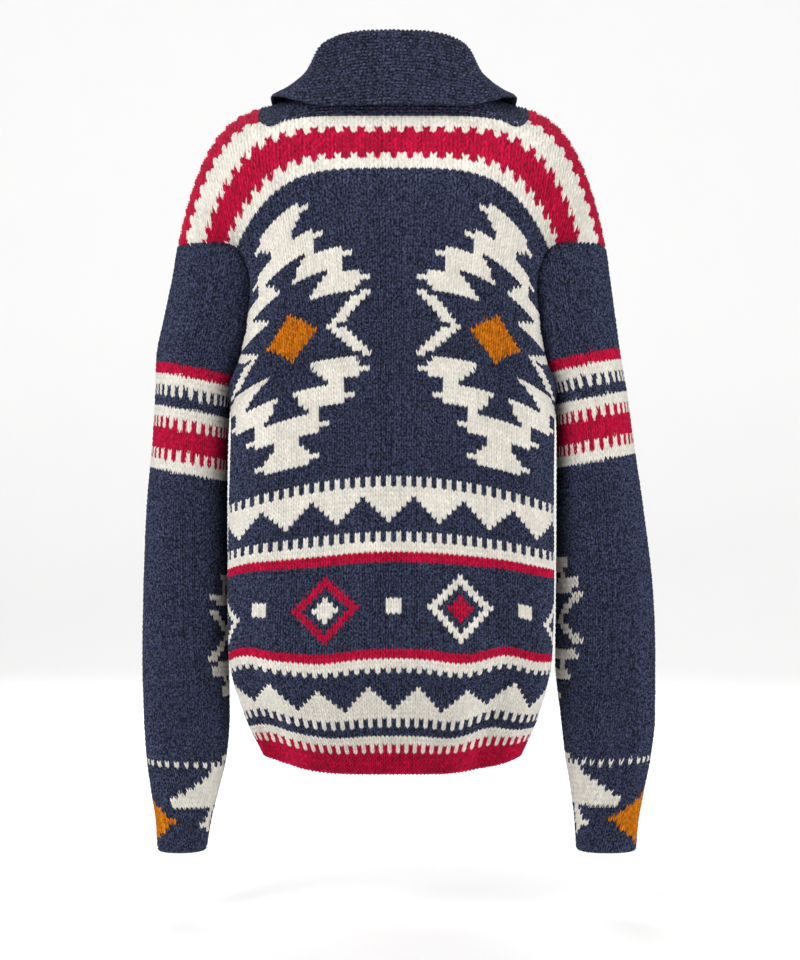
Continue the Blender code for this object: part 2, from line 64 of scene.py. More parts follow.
class Yarn(IntEnum):
    """Yarns in the order of the materials on each knitted piece."""

    NAVY = 0
    CREAM = 1
    CRIMSON = 2
    MUSTARD = 3


class Face(Enum):
    """Side of the knitting that a finish shows."""

    STITCH = "stitch"
    # GROUND finishes are darker copies of the yarns: painted shade on the cloth between the
    # stitches.
    GROUND = "ground"


# Sizes shared with the solids.

SHOULDER_ROW_BACK = 0
SHOULDER_ROW_FRONT = -14
UNDERARM_ROW = 44
HEM_ROW = 133
HEM_SETTLE_ROW = 120
NECK_SHARE = 0.474
ARMHOLE_TOP = -0.127
ARMHOLE_UNDER = -0.280
ARMHOLE_SPREAD = 30.0
UNDERARM_ANGLE = 172.0
SHOULDER_ANGLE = 61.0
ARM_SQUARE = 2.2
FRONT_LEAN = 0.12
FRONT_LEAN_ROWS = (5, 25)
FOLD_END_SHARE = 0.9
NECK_BLEND_ROWS = 8
CUFF_HEIGHT = -0.7616
RIM_OWN = 0.5
WALL = 0.003

# Sizes of the yarn and of the thin cloth under it.

GROUND_DEPTH = 0.0009
EDGE_INSET = 0.0012
NARROWEST_STITCH = 0.0018
RIM_WEIGHTS = (1.0, 0.6, 0.25)
CREASE_ANGLE = 50.0

# Steps with which surfaces are sampled.

EDGE_SAMPLES = 241
ROW_SAMPLES = 181
NORMAL_DROP = 0.004
NORMAL_ROWS = 0.6
NORMAL_SHARE = 0.006
SEAM_SHARE = 0.01


@dataclass(frozen=True)
class Spine:
    """Middle line of a panel at one row."""

    row: float
    height: float
    depth: float
    square: float
    bend: float
    ease: float


BACK_SPINE = (
    Spine(0, 0.000, 0.078, 2.2, 6.0, 0.00),
    Spine(10, -0.055, 0.095, 2.2, 4.2, 0.00),
    Spine(20, -0.106, 0.104, 2.4, 3.2, 0.04),
    Spine(30, -0.158, 0.109, 2.6, 2.8, 0.10),
    Spine(44, -0.230, 0.112, 2.9, 2.6, 0.12),
    Spine(71, -0.367, 0.113, 2.9, 1.9, 0.10),
    Spine(88, -0.453, 0.118, 2.8, 2.0, 0.08),
    Spine(105, -0.540, 0.120, 2.8, 1.8, 0.06),
    Spine(120, -0.612, 0.098, 2.7, 2.0, 0.04),
    Spine(133, -0.672, 0.070, 2.6, 3.4, 0.03),
)
FRONT_SPINE = (
    Spine(-14, 0.000, 0.078, 2.2, 6.0, 0.0),
    Spine(-4, 0.022, 0.012, 2.2, 7.3, 0.0),
    Spine(4, 0.006, -0.035, 2.2, 5.0, 0.0),
    Spine(14, -0.035, -0.070, 2.3, 4.0, 0.0),
    Spine(28, -0.105, -0.092, 2.5, 3.2, 0.0),
    Spine(44, -0.190, -0.103, 2.8, 2.8, 0.0),
    Spine(71, -0.335, -0.108, 2.8, 2.2, 0.0),
    Spine(88, -0.430, -0.110, 2.8, 2.0, 0.0),
    Spine(105, -0.525, -0.110, 2.8, 2.0, 0.0),
    Spine(120, -0.600, -0.100, 2.7, 2.0, 0.0),
    Spine(133, -0.664, -0.085, 2.6, 2.0, 0.0),
)


@dataclass(frozen=True)
class Seam:
    """Side seam at one row below the underarm."""

    row: float
    left_x: float
    right_x: float
    depth: float
    height: float


SIDE_SEAM = (
    Seam(52, 0.1685, 0.1660, 0.020, -0.312),
    Seam(71, 0.1700, 0.1650, 0.030, -0.397),
    Seam(88, 0.1710, 0.1650, 0.035, -0.472),
    Seam(105, 0.1700, 0.1630, 0.035, -0.549),
    Seam(120, 0.1550, 0.1500, 0.032, -0.611),
    Seam(133, 0.1350, 0.1320, 0.025, -0.656),
)


@dataclass(frozen=True)
class ArmSection:
    """Reach of both arm tubes at one height."""

    height: float
    outer_left: float
    inner_left: float
    outer_right: float
    inner_right: float
    back: float
    front: float


ARM_SECTIONS = (
    ArmSection(-0.1000, 0.2200, 0.1440, 0.2150, 0.1440, 0.060, -0.066),
    ArmSection(-0.1270, 0.2265, 0.1400, 0.2215, 0.1400, 0.060, -0.068),
    ArmSection(-0.1600, 0.2320, 0.1360, 0.2260, 0.1360, 0.061, -0.070),
    ArmSection(-0.2000, 0.2405, 0.1430, 0.2315, 0.1430, 0.061, -0.072),
    ArmSection(-0.2450, 0.2490, 0.1560, 0.2380, 0.1540, 0.060, -0.074),
    ArmSection(-0.2800, 0.2500, 0.1715, 0.2440, 0.1690, 0.058, -0.074),
    ArmSection(-0.3300, 0.2530, 0.1755, 0.2510, 0.1720, 0.056, -0.074),
    ArmSection(-0.4000, 0.2595, 0.1765, 0.2615, 0.1720, 0.052, -0.074),
    ArmSection(-0.5000, 0.2636, 0.1765, 0.2730, 0.1715, 0.045, -0.075),
    ArmSection(-0.5600, 0.2646, 0.1755, 0.2750, 0.1710, 0.040, -0.075),
    ArmSection(-0.6200, 0.2634, 0.1745, 0.2750, 0.1770, 0.033, -0.073),
    ArmSection(-0.6600, 0.2612, 0.1775, 0.2710, 0.1815, 0.027, -0.070),
    ArmSection(-0.7000, 0.2560, 0.1865, 0.2635, 0.1880, 0.020, -0.064),
    ArmSection(-0.7300, 0.2515, 0.1940, 0.2580, 0.1915, 0.014, -0.059),
    ArmSection(-0.7616, 0.2495, 0.1990, 0.2550, 0.1935, 0.010, -0.054),
)


@dataclass(frozen=True)
class Fold:
    """Upright fold of a panel: where it lies, how deep it sinks and where it runs."""

    front: bool
    side: Side
    share: float
    width: float
    sink: float
    lift: float
    first_row: float
    full_row: float


FOLDS = (
    Fold(False, Side.LEFT, 0.76, 0.13, 0.015, 0.006, 66, 112),
    Fold(False, Side.RIGHT, 0.58, 0.12, 0.012, 0.006, 80, 112),
    Fold(False, Side.LEFT, 0.36, 0.16, -0.004, -0.004, 74, 108),
    Fold(False, Side.RIGHT, 0.34, 0.14, -0.003, -0.004, 90, 110),
    Fold(True, Side.LEFT, 0.60, 0.13, 0.012, 0.004, 70, 115),
    Fold(True, Side.RIGHT, 0.66, 0.13, 0.011, 0.004, 62, 112),
)


@dataclass(frozen=True)
class Neck:
    """Neck edge and the collar sewn to it at one row."""

    row: float
    edge_x: float
    stand: float
    fall: float
    rise: float
    turn: float
    flare: float
    led: float
    bow: float


NECK_EDGE = (
    Neck(-24, 0.0000, 0.078, 0.070, 0.0, 176.0, 6.0, 1.0, 0.0),
    Neck(-19, 0.0680, 0.075, 0.068, 0.0, 176.0, 8.0, 1.0, 3.0),
    Neck(-16.5, 0.1030, 0.075, 0.060, 0.0, 172.0, 18.0, 1.0, 8.0),
    Neck(-14, 0.1370, 0.080, 0.054, 0.0, 166.0, 32.0, 1.0, 18.0),
    Neck(-4, 0.1390, 0.074, 0.058, 0.0, 166.0, 32.0, 1.0, 21.0),
    Neck(4, 0.1260, 0.068, 0.064, 0.0, 172.0, 20.0, 1.0, 14.0),
    Neck(14, 0.1050, 0.062, 0.068, 24.0, 173.0, 0.0, 0.0, 0.0),
    Neck(28, 0.0760, 0.050, 0.062, 12.0, 178.0, 0.0, 0.0, 0.0),
    Neck(40, 0.0530, 0.036, 0.040, 6.0, 180.0, 0.0, 0.0, 0.0),
    Neck(50, 0.0390, 0.025, 0.008, 2.0, 180.0, 0.0, 0.0, 0.0),
    Neck(57, 0.0365, 0.022, 0.000, 0.0, 180.0, 0.0, 0.0, 0.0),
    Neck(64, 0.0360, 0.026, 0.000, 0.0, 180.0, 0.0, 0.0, 0.0),
    Neck(71, 0.0360, 0.031, 0.000, 0.0, 180.0, 0.0, 0.0, 0.0),
    Neck(133, 0.0350, 0.031, 0.000, 0.0, 180.0, 0.0, 0.0, 0.0),
)


@dataclass(frozen=True)
class Roll:
    """Place of the collar's roll at one station round the neck."""

    row: float
    x: float
    y: float
    z: float


NECK_ROLL = (
    Roll(-24, 0.0000, 0.074, 0.0783),
    Roll(-21.1, 0.0360, 0.073, 0.0772),
    Roll(-18.3, 0.0580, 0.068, 0.0720),
    Roll(-16.9, 0.0640, 0.062, 0.0665),
    Roll(-15.4, 0.0670, 0.055, 0.0615),
    Roll(-14, 0.0680, 0.047, 0.0575),
    Roll(-10, 0.0685, 0.037, 0.0540),
    Roll(-6, 0.0690, 0.026, 0.0510),
    Roll(-2, 0.0690, 0.012, 0.0475),
    Roll(2, 0.0680, -0.005, 0.0420),
    Roll(6, 0.0670, -0.024, 0.0320),
    Roll(10, 0.0655, -0.044, 0.0170),
)
BACK_NECK_ROW = -24
NECK_COLUMNS = 7
ROWS_FRONT = (-14, -10, -6, -2, 2, 6, 10, 15, 20, 25, 30, 35, 40, 44) + (
    50, 57, 64, 71, 79, 88, 96, 105, 112, 119, 126, 133)


# Small helpers for curves and directions.


def cubic(keys: Array, values: Array, at: float | Array) -> Array:
    """Monotone cubic through points.

    Args:
        keys: places of the points, rising or falling.
        values: value at each place.
        at: place or places to read.

    Returns:
        The value at each place asked for.
    """
    if keys[0] > keys[-1]:
        keys, values = keys[::-1], values[::-1]
    step = np.diff(keys)
    slope = np.diff(values) / step
    tangent = np.zeros(len(values))
    tangent[0], tangent[-1] = slope[0], slope[-1]
    same = slope[:-1] * slope[1:] > 0
    mean = 2.0 * slope[:-1] * slope[1:] / np.where(same, slope[:-1] + slope[1:], 1.0)
    tangent[1:-1] = np.where(same, mean, 0.0)
    place = np.clip(np.searchsorted(keys, at) - 1, 0, len(step) - 1)
    part = np.clip((at - keys[place]) / step[place], 0.0, 1.0)
    start = (1 + 2 * part) * (1 - part) ** 2 * values[place]
    start = start + part * (1 - part) ** 2 * step[place] * tangent[place]
    finish = part**2 * (3 - 2 * part) * values[place + 1]
    finish = finish + part**2 * (part - 1) * step[place] * tangent[place + 1]
    return start + finish


def smooth(table: tuple, key: str, column: str, at: float | Array) -> Array:
    """Read one column of a table at a key.

    Args:
        table: rows of one dataclass.
        key: name of the column that orders the table.
        column: name of the column to read.
        at: key or keys to read at.

    Returns:
        The value at each key.
    """
    keys = np.array([getattr(line, key) for line in table], dtype=float)
    values = np.array([getattr(line, column) for line in table], dtype=float)
    return cubic(keys, values, at)


def ramp(value: float | Array, low: float, high: float) -> Array:
    """Soft step.

    Args:
        value: number or numbers to place on the step.
        low: where the step begins.
        high: where it is complete.

    Returns:
        From 0 at low to 1 at high.
    """
    part = np.clip((np.asarray(value, dtype=float) - low) / (high - low), 0.0, 1.0)
    return part * part * (3 - 2 * part)


def unit(vector: Array) -> Array:
    """Vector or vectors at length 1."""
    return vector / np.maximum(np.linalg.norm(vector, axis=-1, keepdims=True), 1e-12)


def signed_power(value: Array, power: float) -> Array:
    """Power that keeps the sign of its base."""
    return np.sign(value) * np.abs(value) ** power


def read_line(at: Array, keys: Array, points: Array) -> Array:
    """Points of a line at places along it."""
    return np.stack([np.interp(at, keys, points[:, i]) for i in range(3)], axis=-1)


def lengths_along(points: Array, axis: int = 0) -> Array:
    """Distance from the first point, summed along a line or along the lines of a grid.

    Args:
        points: the line or grid, with x, y and z on the last axis.
        axis: the axis that the lines run along.

    Returns:
        One distance for each point.
    """
    sums = np.cumsum(np.linalg.norm(np.diff(points, axis=axis), axis=-1), axis=axis)
    return np.concatenate((np.zeros_like(np.take(sums, [0], axis=axis)), sums), axis=axis)


def angle_from(angles: Array, centre: float) -> Array:
    """Signed angle in degrees from a centre, between -180 and 180."""
    return (angles - centre + 180.0) % 360.0 - 180.0


def upsample(points: Array, times: int) -> Array:
    """Add points between those of a smooth line of points, along the first axis.

    Args:
        points: grid whose first axis runs along the line.
        times: steps for each old step.

    Returns:
        The finer grid, which passes through the old points.
    """
    before, after = 2 * points[:1] - points[1:2], 2 * points[-1:] - points[-2:-1]
    ends = np.concatenate((before, points, after))
    found = []
    for i in range(len(points) - 1):
        a, b, c, d = ends[i], ends[i + 1], ends[i + 2], ends[i + 3]
        for k in range(times):
            t = k / times
            found.append(0.5 * (2 * b + (c - a) * t + (2 * a - 5 * b + 4 * c - d) * t * t
                                + (3 * b - a - 3 * c + d) * t**3))
    found.append(points[-1])
    return np.array(found)


# Surfaces of the garment.


@dataclass(frozen=True)
class SleeveCrease:
    """Soft ridge or trough that runs down a sleeve."""

    side: Side
    angle: float
    width: float
    rise: float
    top: float
    foot: float


SLEEVE_CREASES = (
    SleeveCrease(Side.RIGHT, 57.0, 9.0, 0.0016, -0.42, -0.74),
    SleeveCrease(Side.LEFT, 118.0, 12.0, -0.0012, -0.30, -0.52),
    SleeveCrease(Side.LEFT, 40.0, 12.0, 0.0010, -0.60, -0.75),
    SleeveCrease(Side.RIGHT, -70.0, 12.0, 0.0016, -0.36, -0.66),
    SleeveCrease(Side.LEFT, -60.0, 11.0, 0.0016, -0.40, -0.70),
)
CREASE_FADE = 0.08


@dataclass
class Arm:
    """Tube of one arm, from the shoulder to the cuff."""

    side: Side

    def column(self, name: str, heights: Array) -> Array:
        """Read this arm's column of the section table at some heights."""
        own = name if name in ("back", "front") else f"{name}_{self.side.word}"
        return smooth(ARM_SECTIONS, "height", own, heights)

    def points(self, heights: Array, angles: Array) -> Array:
        """Points on the outer face of the sleeve.

        Args:
            heights: height of each point.
            angles: angle of each point; 0 is the outer side and 90 the back.

        Returns:
            One point for each pair of height and angle.
        """
        heights, angles = np.broadcast_arrays(
            np.asarray(heights, float), np.asarray(angles, float))
        outer, inner = self.column("outer", heights), self.column("inner", heights)
        back, front = self.column("back", heights), self.column("front", heights)
        turn = np.radians(angles)
        across = signed_power(np.cos(turn), 2 / ARM_SQUARE)
        along = signed_power(np.sin(turn), 2 / ARM_SQUARE)
        x = (outer + inner) / 2 + (outer - inner) / 2 * across
        y = (back + front) / 2 + (back - front) / 2 * along
        for crease in SLEEVE_CREASES:
            if crease.side is not self.side:
                continue
            near = np.exp(-((angle_from(angles, crease.angle) / crease.width) ** 2))
            near = near * ramp(heights, crease.foot, crease.foot + CREASE_FADE)
            near = near * (1 - ramp(heights, crease.top - CREASE_FADE, crease.top))
            x = x + crease.rise * near * np.cos(turn)
            y = y + crease.rise * near * np.sin(turn)
        return np.stack((int(self.side) * x, y, heights), axis=-1)

    def normals(self, heights: Array, angles: Array) -> Array:
        """Outward directions of the sleeve.

        Args:
            heights: height of each place.
            angles: angle of each place.

        Returns:
            One direction for each pair of height and angle.
        """
        turn = self.points(heights, angles + 1.0) - self.points(heights, angles - 1.0)
        drop = self.points(heights - NORMAL_DROP, angles)
        drop = drop - self.points(heights + NORMAL_DROP, angles)
        return unit(np.cross(turn, drop) * -int(self.side))


def armhole_height(angles: Array) -> Array:
    """Height of the armhole seam at angles round the arm."""
    near = np.exp(-((angle_from(angles, UNDERARM_ANGLE) / ARMHOLE_SPREAD) ** 2))
    return ARMHOLE_TOP + (ARMHOLE_UNDER - ARMHOLE_TOP) * near


@dataclass
class Panel:
    """One half of the back or one front, as a surface over rows and shares."""

    front: bool
    side: Side
    arm: Arm = field(init=False)
    spine: tuple = field(init=False)
    top_row: int = field(init=False)
    angles: Array = field(init=False)
    armhole_shares: Array = field(init=False)
    edge_rows: Array = field(init=False)
    edge: Array = field(init=False)
    seam_start: int = field(init=False)

    def __post_init__(self) -> None:
        """Work out the outer edge: the armhole, then the side seam."""
        self.arm = Arm(self.side)
        self.spine = FRONT_SPINE if self.front else BACK_SPINE
        self.top_row = SHOULDER_ROW_FRONT if self.front else SHOULDER_ROW_BACK
        end = UNDERARM_ANGLE - 360.0 if self.front else UNDERARM_ANGLE
        self.angles = np.linspace(SHOULDER_ANGLE, end, EDGE_SAMPLES)
        track = self.arm.points(armhole_height(self.angles), self.angles)
        lengths = lengths_along(track)
        self.armhole_shares = lengths / lengths[-1]
        rows = list(range(self.top_row, UNDERARM_ROW + 1, 2))
        shares = [(r - self.top_row) / (UNDERARM_ROW - self.top_row) for r in rows]
        edge = list(read_line(shares, self.armhole_shares, track))
        for seam in SIDE_SEAM:
            rows.append(seam.row)
            x = getattr(seam, self.side.word + "_x")
            edge.append([int(self.side) * x, seam.depth, seam.height])
        self.edge_rows, self.edge = np.array(rows, dtype=float), np.array(edge)
        self.seam_start = rows.index(UNDERARM_ROW)

    def angle_at(self, rows: Array) -> Array:
        """Angle round the arm where rows meet the armhole."""
        share = (np.asarray(rows, float) - self.top_row) / (UNDERARM_ROW - self.top_row)
        return np.interp(share, self.armhole_shares, self.angles)

    def curve(self, row: float) -> tuple[Array, Array]:
        """Dense line along a row.

        Args:
            row: the knitted row.

        Returns:
            The points from the middle line to the row's end, and their distance along it.
        """
        height, depth, square, bend = (
            float(smooth(self.spine, "row", name, row))
            for name in ("height", "depth", "square", "bend"))
        below = row >= UNDERARM_ROW
        part = slice(self.seam_start, None) if below else slice(self.seam_start + 1)
        end = [float(cubic(self.edge_rows[part], self.edge[part, i], row)) for i in range(3)]
        turn = np.linspace(0.0, math.pi / 2, ROW_SAMPLES)
        out = np.sin(turn) ** (2 / square)
        keep = np.clip(np.cos(turn), 0.0, 1.0) ** (2 / square)
        lean = FRONT_LEAN * float(ramp(row, *FRONT_LEAN_ROWS)) if self.front else 0.0
        x = end[0] * (out - lean * keep * out**4)
        y = end[1] + (depth - end[1]) * keep
        z = height - (height - end[2]) * out**bend
        points = np.stack((x, y, z), axis=1)
        return points, lengths_along(points)

    def line(self, row: float, shares: Array) -> Array:
        """Points of the cloth's outer face along one row.

        Args:
            row: the knitted row.
            shares: places along the half panel, 0 in the middle and 1 at its end.

        Returns:
            One point for each share.
        """
        points, lengths = self.curve(row)
        ease = float(smooth(self.spine, "row", "ease", row))
        shares = np.clip(shares, 0.0, 1.0)
        eased = ((1 - ease) * shares + ease * shares**5) * lengths[-1]
        place = read_line(eased, lengths, points)
        outward = -1.0 if self.front else 1.0
        for fold in FOLDS:
            if fold.front != self.front or fold.side is not self.side:
                continue
            near = np.exp(-(((shares - fold.share) / fold.width) ** 2))
            near = near * ramp(row, fold.first_row, fold.full_row)
            near = near * (1 - ramp(shares, FOLD_END_SHARE, 1.0))
            place[:, 1] -= outward * fold.sink * near
            settle = 1 - ramp(row, HEM_SETTLE_ROW, HEM_ROW)
            place[:, 2] += fold.lift * near * settle
        return place

    def at(self, row: float, share: float) -> Array:
        """One point of the cloth's outer face."""
        return self.line(row, np.array([share]))[0]

    def grid(self, rows: Array, shares: Array) -> Array:
        """Points for rows and shares; shares may be one set for all rows or one for each.

        Args:
            rows: the knitted rows.
            shares: places along each row.

        Returns:
            A grid of points, rows first.
        """
        shares = np.broadcast_to(shares, (len(rows), np.shape(shares)[-1]))
        return np.array([self.line(row, part) for row, part in zip(rows, shares)])

    def share_at_x(self, row: float, x: float) -> float:
        """Share of the half panel where a row is at a distance from the middle."""
        points, lengths = self.curve(row)
        return float(np.interp(x, np.abs(points[:, 0]), lengths / lengths[-1]))

    def normal(self, row: float, share: float) -> Array:
        """Outward direction of the cloth at one place.

        Args:
            row: the knitted row.
            share: place along it.

        Returns:
            The direction, of length 1.
        """
        low_row, high_row = max(row - NORMAL_ROWS, self.top_row), min(row + NORMAL_ROWS, HEM_ROW)
        low, high = max(share - NORMAL_SHARE, 0.0), min(share + NORMAL_SHARE, 1.0)
        down = self.at(high_row, share) - self.at(low_row, share)
        across = self.at(row, high) - self.at(row, low)
        return unit(np.cross(down, across) * (1.0 if self.front else -1.0) * int(self.side))

    def neck_share(self, row: float) -> float:
        """Share of a front's row where its inner edge lies.

        Args:
            row: the knitted row.

        Returns:
            The share, between 0 in the middle and 1 at the row's end.
        """
        if row <= SHOULDER_ROW_FRONT:
            return NECK_SHARE
        found = self.share_at_x(row, float(smooth(NECK_EDGE, "row", "edge_x", row)))
        blend = float(ramp(row, SHOULDER_ROW_FRONT, SHOULDER_ROW_FRONT + NECK_BLEND_ROWS))
        return NECK_SHARE * (1 - blend) + found * blend


HEM_ROWS = np.array([HEM_ROW - 1.0, HEM_ROW - 0.5, HEM_ROW])
PANELS = {(front, side): Panel(front, side) for front in (False, True) for side in Side}


@dataclass
class Armhole:
    """Directions in which panel and sleeve get their thickness at one armhole."""

    side: Side
    sides: dict = field(init=False)

    def __post_init__(self) -> None:
        """Draw the directions of both pieces to each other along the seam."""
        arm = Arm(self.side)
        self.sides = {}
        for front in (False, True):
            panel = PANELS[(front, self.side)]
            rows = np.arange(panel.top_row, UNDERARM_ROW + 0.5, 1.0)
            own = np.array([panel.normal(row, 1.0) for row in rows])
            beside = PANELS[(not front, self.side)]
            own[0] = unit(own[0] + beside.normal(beside.top_row, 1.0))
            own[-1] = unit(own[-1] + beside.normal(UNDERARM_ROW, 1.0))
            angles = panel.angle_at(rows)
            sleeve = arm.normals(armhole_height(angles), angles)
            after = arm.points(armhole_height(angles + 1.0), angles + 1.0)
            tangent = unit(after - arm.points(armhole_height(angles - 1.0), angles - 1.0))
            into_panel = unit(np.cross(own, tangent)) * int(self.side)
            into_sleeve = unit(np.cross(sleeve, tangent)) * -int(self.side)
            facing = (np.sum(own * into_sleeve, axis=1) > 0)[:, None]
            shared = unit(own + sleeve + np.where(facing, into_panel + into_sleeve, 0.0))
            valley = RIM_OWN * (1 - np.sum(own * sleeve, axis=1, keepdims=True)) / 2
            keep = np.where(facing, valley, 0.0)
            self.sides[front] = (
                rows, angles, unit(shared + keep * own), unit(shared + keep * sleeve))

    def panel_out(self, front: bool, rows: Array) -> Array:
        """Direction of the panel's thickness at its armhole edge."""
        known, _, out, _ = self.sides[front]
        return unit(read_line(rows, known, out))

    def sleeve_out(self, angles: Array) -> Array:
        """Direction of the sleeve's thickness at its armhole edge.

        Args:
            angles: angles round the arm.

        Returns:
            One direction for each angle.
        """
        back, front = self.sides[False], self.sides[True]
        keys = np.concatenate((front[1][::-1], back[1]))
        outs = np.concatenate((front[3][::-1], back[3]))
        return unit(read_line(angles, keys, outs))


ARMHOLES = {side: Armhole(side) for side in Side}


# Charts of the coloured knitting.


@dataclass(frozen=True)
class PanelChart:
    """Colours of the back and the fronts, by row and by stitch from the middle."""

    yoke_rows: int = 13
    band_rows: int = 10
    body_stitches: int = 38
    medallion_row: int = 40
    medallion_stitch: int = 21
    band_repeat: int = 10
    diamond_row: int = 96
    toothed_rows: tuple = (71, 72, 82, 83, 109, 120, 121)
    cream_rows: tuple = (73, 74, 84, 85, 107, 108, 118, 119, 124, 125)
    crimson_rows: tuple = (86, 87, 105, 106)

    @staticmethod
    def teeth(stitch: int, first: Yarn, second: Yarn) -> Yarn:
        """Alternate two yarns stitch by stitch, the first on odd stitches."""
        return first if stitch % 2 else second

    @staticmethod
    def medallion(dx: float, dy: float) -> Yarn:
        """Stepped medallion round an orange diamond.

        Args:
            dx: stitches from its centre.
            dy: rows from its centre.

        Returns:
            The yarn there.
        """
        if dx + dy <= 5:
            return Yarn.MUSTARD
        shapes = (
            dy <= 6 and abs(dx - (8.6 + 1.15 * dy)) <= 1.4,
            7 <= dy <= 10 and 5 + (dy - 7) <= dx <= 16 - 1.5 * abs(dy - 9),
            10 <= dy <= 12 and 9 <= dx <= 11,
            12 <= dy <= 15 and 2 + 0.5 * (dy - 12) <= dx <= 13 - 1.5 * abs(dy - 14),
            15 <= dy <= 17 and 4.5 <= dx <= 6.5,
            17 <= dy <= 20 and dx <= 8 - 1.5 * abs(dy - 19),
            20 <= dy <= 26 and dx <= max(2, 6 - 1.5 * abs(dy - 25)),
        )
        return Yarn.CREAM if any(shapes) else Yarn.NAVY

    def diamonds(self, row: int, stitch: int) -> Yarn:
        """Band of diamonds and chevrons below the middle of the panel.

        Args:
            row: knitted row.
            stitch: stitches from the middle.

        Returns:
            The yarn there.
        """
        dy = abs(row - self.diamond_row)
        red, cream = abs(stitch + 13) + dy, abs(stitch - 13) + dy
        if 5 <= red <= 6 or cream <= 2:
            return Yarn.CRIMSON
        if 5 <= cream <= 6 or red <= 2:
            return Yarn.CREAM
        if dy <= 1 and min(abs(stitch), abs(abs(stitch) - 26)) <= 1:
            return Yarn.CREAM
        if abs(stitch) >= 31 and abs(abs(row - 98) - (abs(stitch) - 31) * 0.8) < 1:
            return Yarn.CREAM
        return Yarn.NAVY

    def repeat_distance(self, stitch: int, centre: int) -> int:
        """Stitches to the nearest repeat of a centre."""
        away = (stitch - centre) % self.band_repeat
        return min(away, self.band_repeat - away)

    def yarn(self, row: int, stitch: int) -> Yarn:
        """Yarn of one stitch of the chart.

        Args:
            row: knitted row, 0 at the yoke's first row.
            stitch: stitches from the middle, negative on the wearer's left.

        Returns:
            The yarn there.
        """
        if row < self.band_rows:
            if row in (2, 7):
                return self.teeth(stitch, Yarn.CREAM, Yarn.CRIMSON)
            return Yarn.CRIMSON if 3 <= row <= 6 else Yarn.CREAM
        if row < self.toothed_rows[0]:
            dx = abs(abs(stitch) - self.medallion_stitch)
            return self.medallion(dx, abs(row - self.medallion_row))
        if row in self.toothed_rows:
            return self.teeth(stitch, Yarn.CREAM, Yarn.NAVY)
        if row in self.cream_rows:
            return Yarn.CREAM
        if 75 <= row <= 79:
            inside = self.repeat_distance(stitch, -1) <= 4 - (row - 75)
            return Yarn.CREAM if inside else Yarn.NAVY
        if 113 <= row <= 117:
            inside = self.repeat_distance(stitch, 5) <= row - 113
            return Yarn.CREAM if inside else Yarn.NAVY
        if 88 <= row <= 104:
            return self.diamonds(row, stitch)
        if row in (126, 127):
            return self.teeth(stitch, Yarn.CREAM, Yarn.CRIMSON)
        if row in self.crimson_rows or row >= 128:
            return Yarn.CRIMSON
        return Yarn.NAVY


@dataclass(frozen=True)
class SleeveChart:
    """Colours of one sleeve, by row below the first band and stitch from its outer line."""

    start: float
    medallion_row: float
    medallion_beyond: float
    dotted_row: int
    arrow_row: int
    tip_row: int
    diamond_row: int
    row_stretch: float = 1.25
    cuff_shift: int = 5
    diamond_shift: int = 2

    def yarn(self, row: int, stitch: int, half_round: float) -> Yarn:
        """Yarn of one stitch.

        Args:
            row: knitted rows below the top of the first band.
            stitch: stitches from the outer line, positive to the back.
            half_round: stitches from the outer line to the inner line at that row.

        Returns:
            The yarn there.
        """
        odd = stitch % 2 == 1
        if row in (0, 1, 12, 13, 14, 15):
            return Yarn.CRIMSON
        if row in (2, 3, 8, 9, 18, 19):
            return Yarn.CREAM
        if row in (4, 5):
            return Yarn.CREAM if odd else Yarn.NAVY
        if row in (10, 11, 16, 17):
            return Yarn.CREAM if odd else Yarn.CRIMSON
        if row < 20:
            return Yarn.NAVY
        if row < self.dotted_row - 1:
            dx = abs(abs(stitch) - (half_round + self.medallion_beyond))
            dy = abs(row - self.medallion_row) * self.row_stretch
            return PanelChart.medallion(dx, dy)
        if row == self.dotted_row:
            return Yarn.NAVY if odd else Yarn.CREAM
        if abs(stitch - self.diamond_shift) * 0.6 + abs(row - self.diamond_row) <= 5:
            return Yarn.MUSTARD
        away = abs(stitch - self.cuff_shift)
        if away >= 6 and -(away - 6) * 6 / 11 <= row - self.arrow_row <= 1:
            return Yarn.CREAM
        if 11 <= away <= 16 and abs(row - self.tip_row) <= (away - 11) * 0.75:
            return Yarn.CREAM
        return Yarn.NAVY


# Meshes of stitches and cloth.


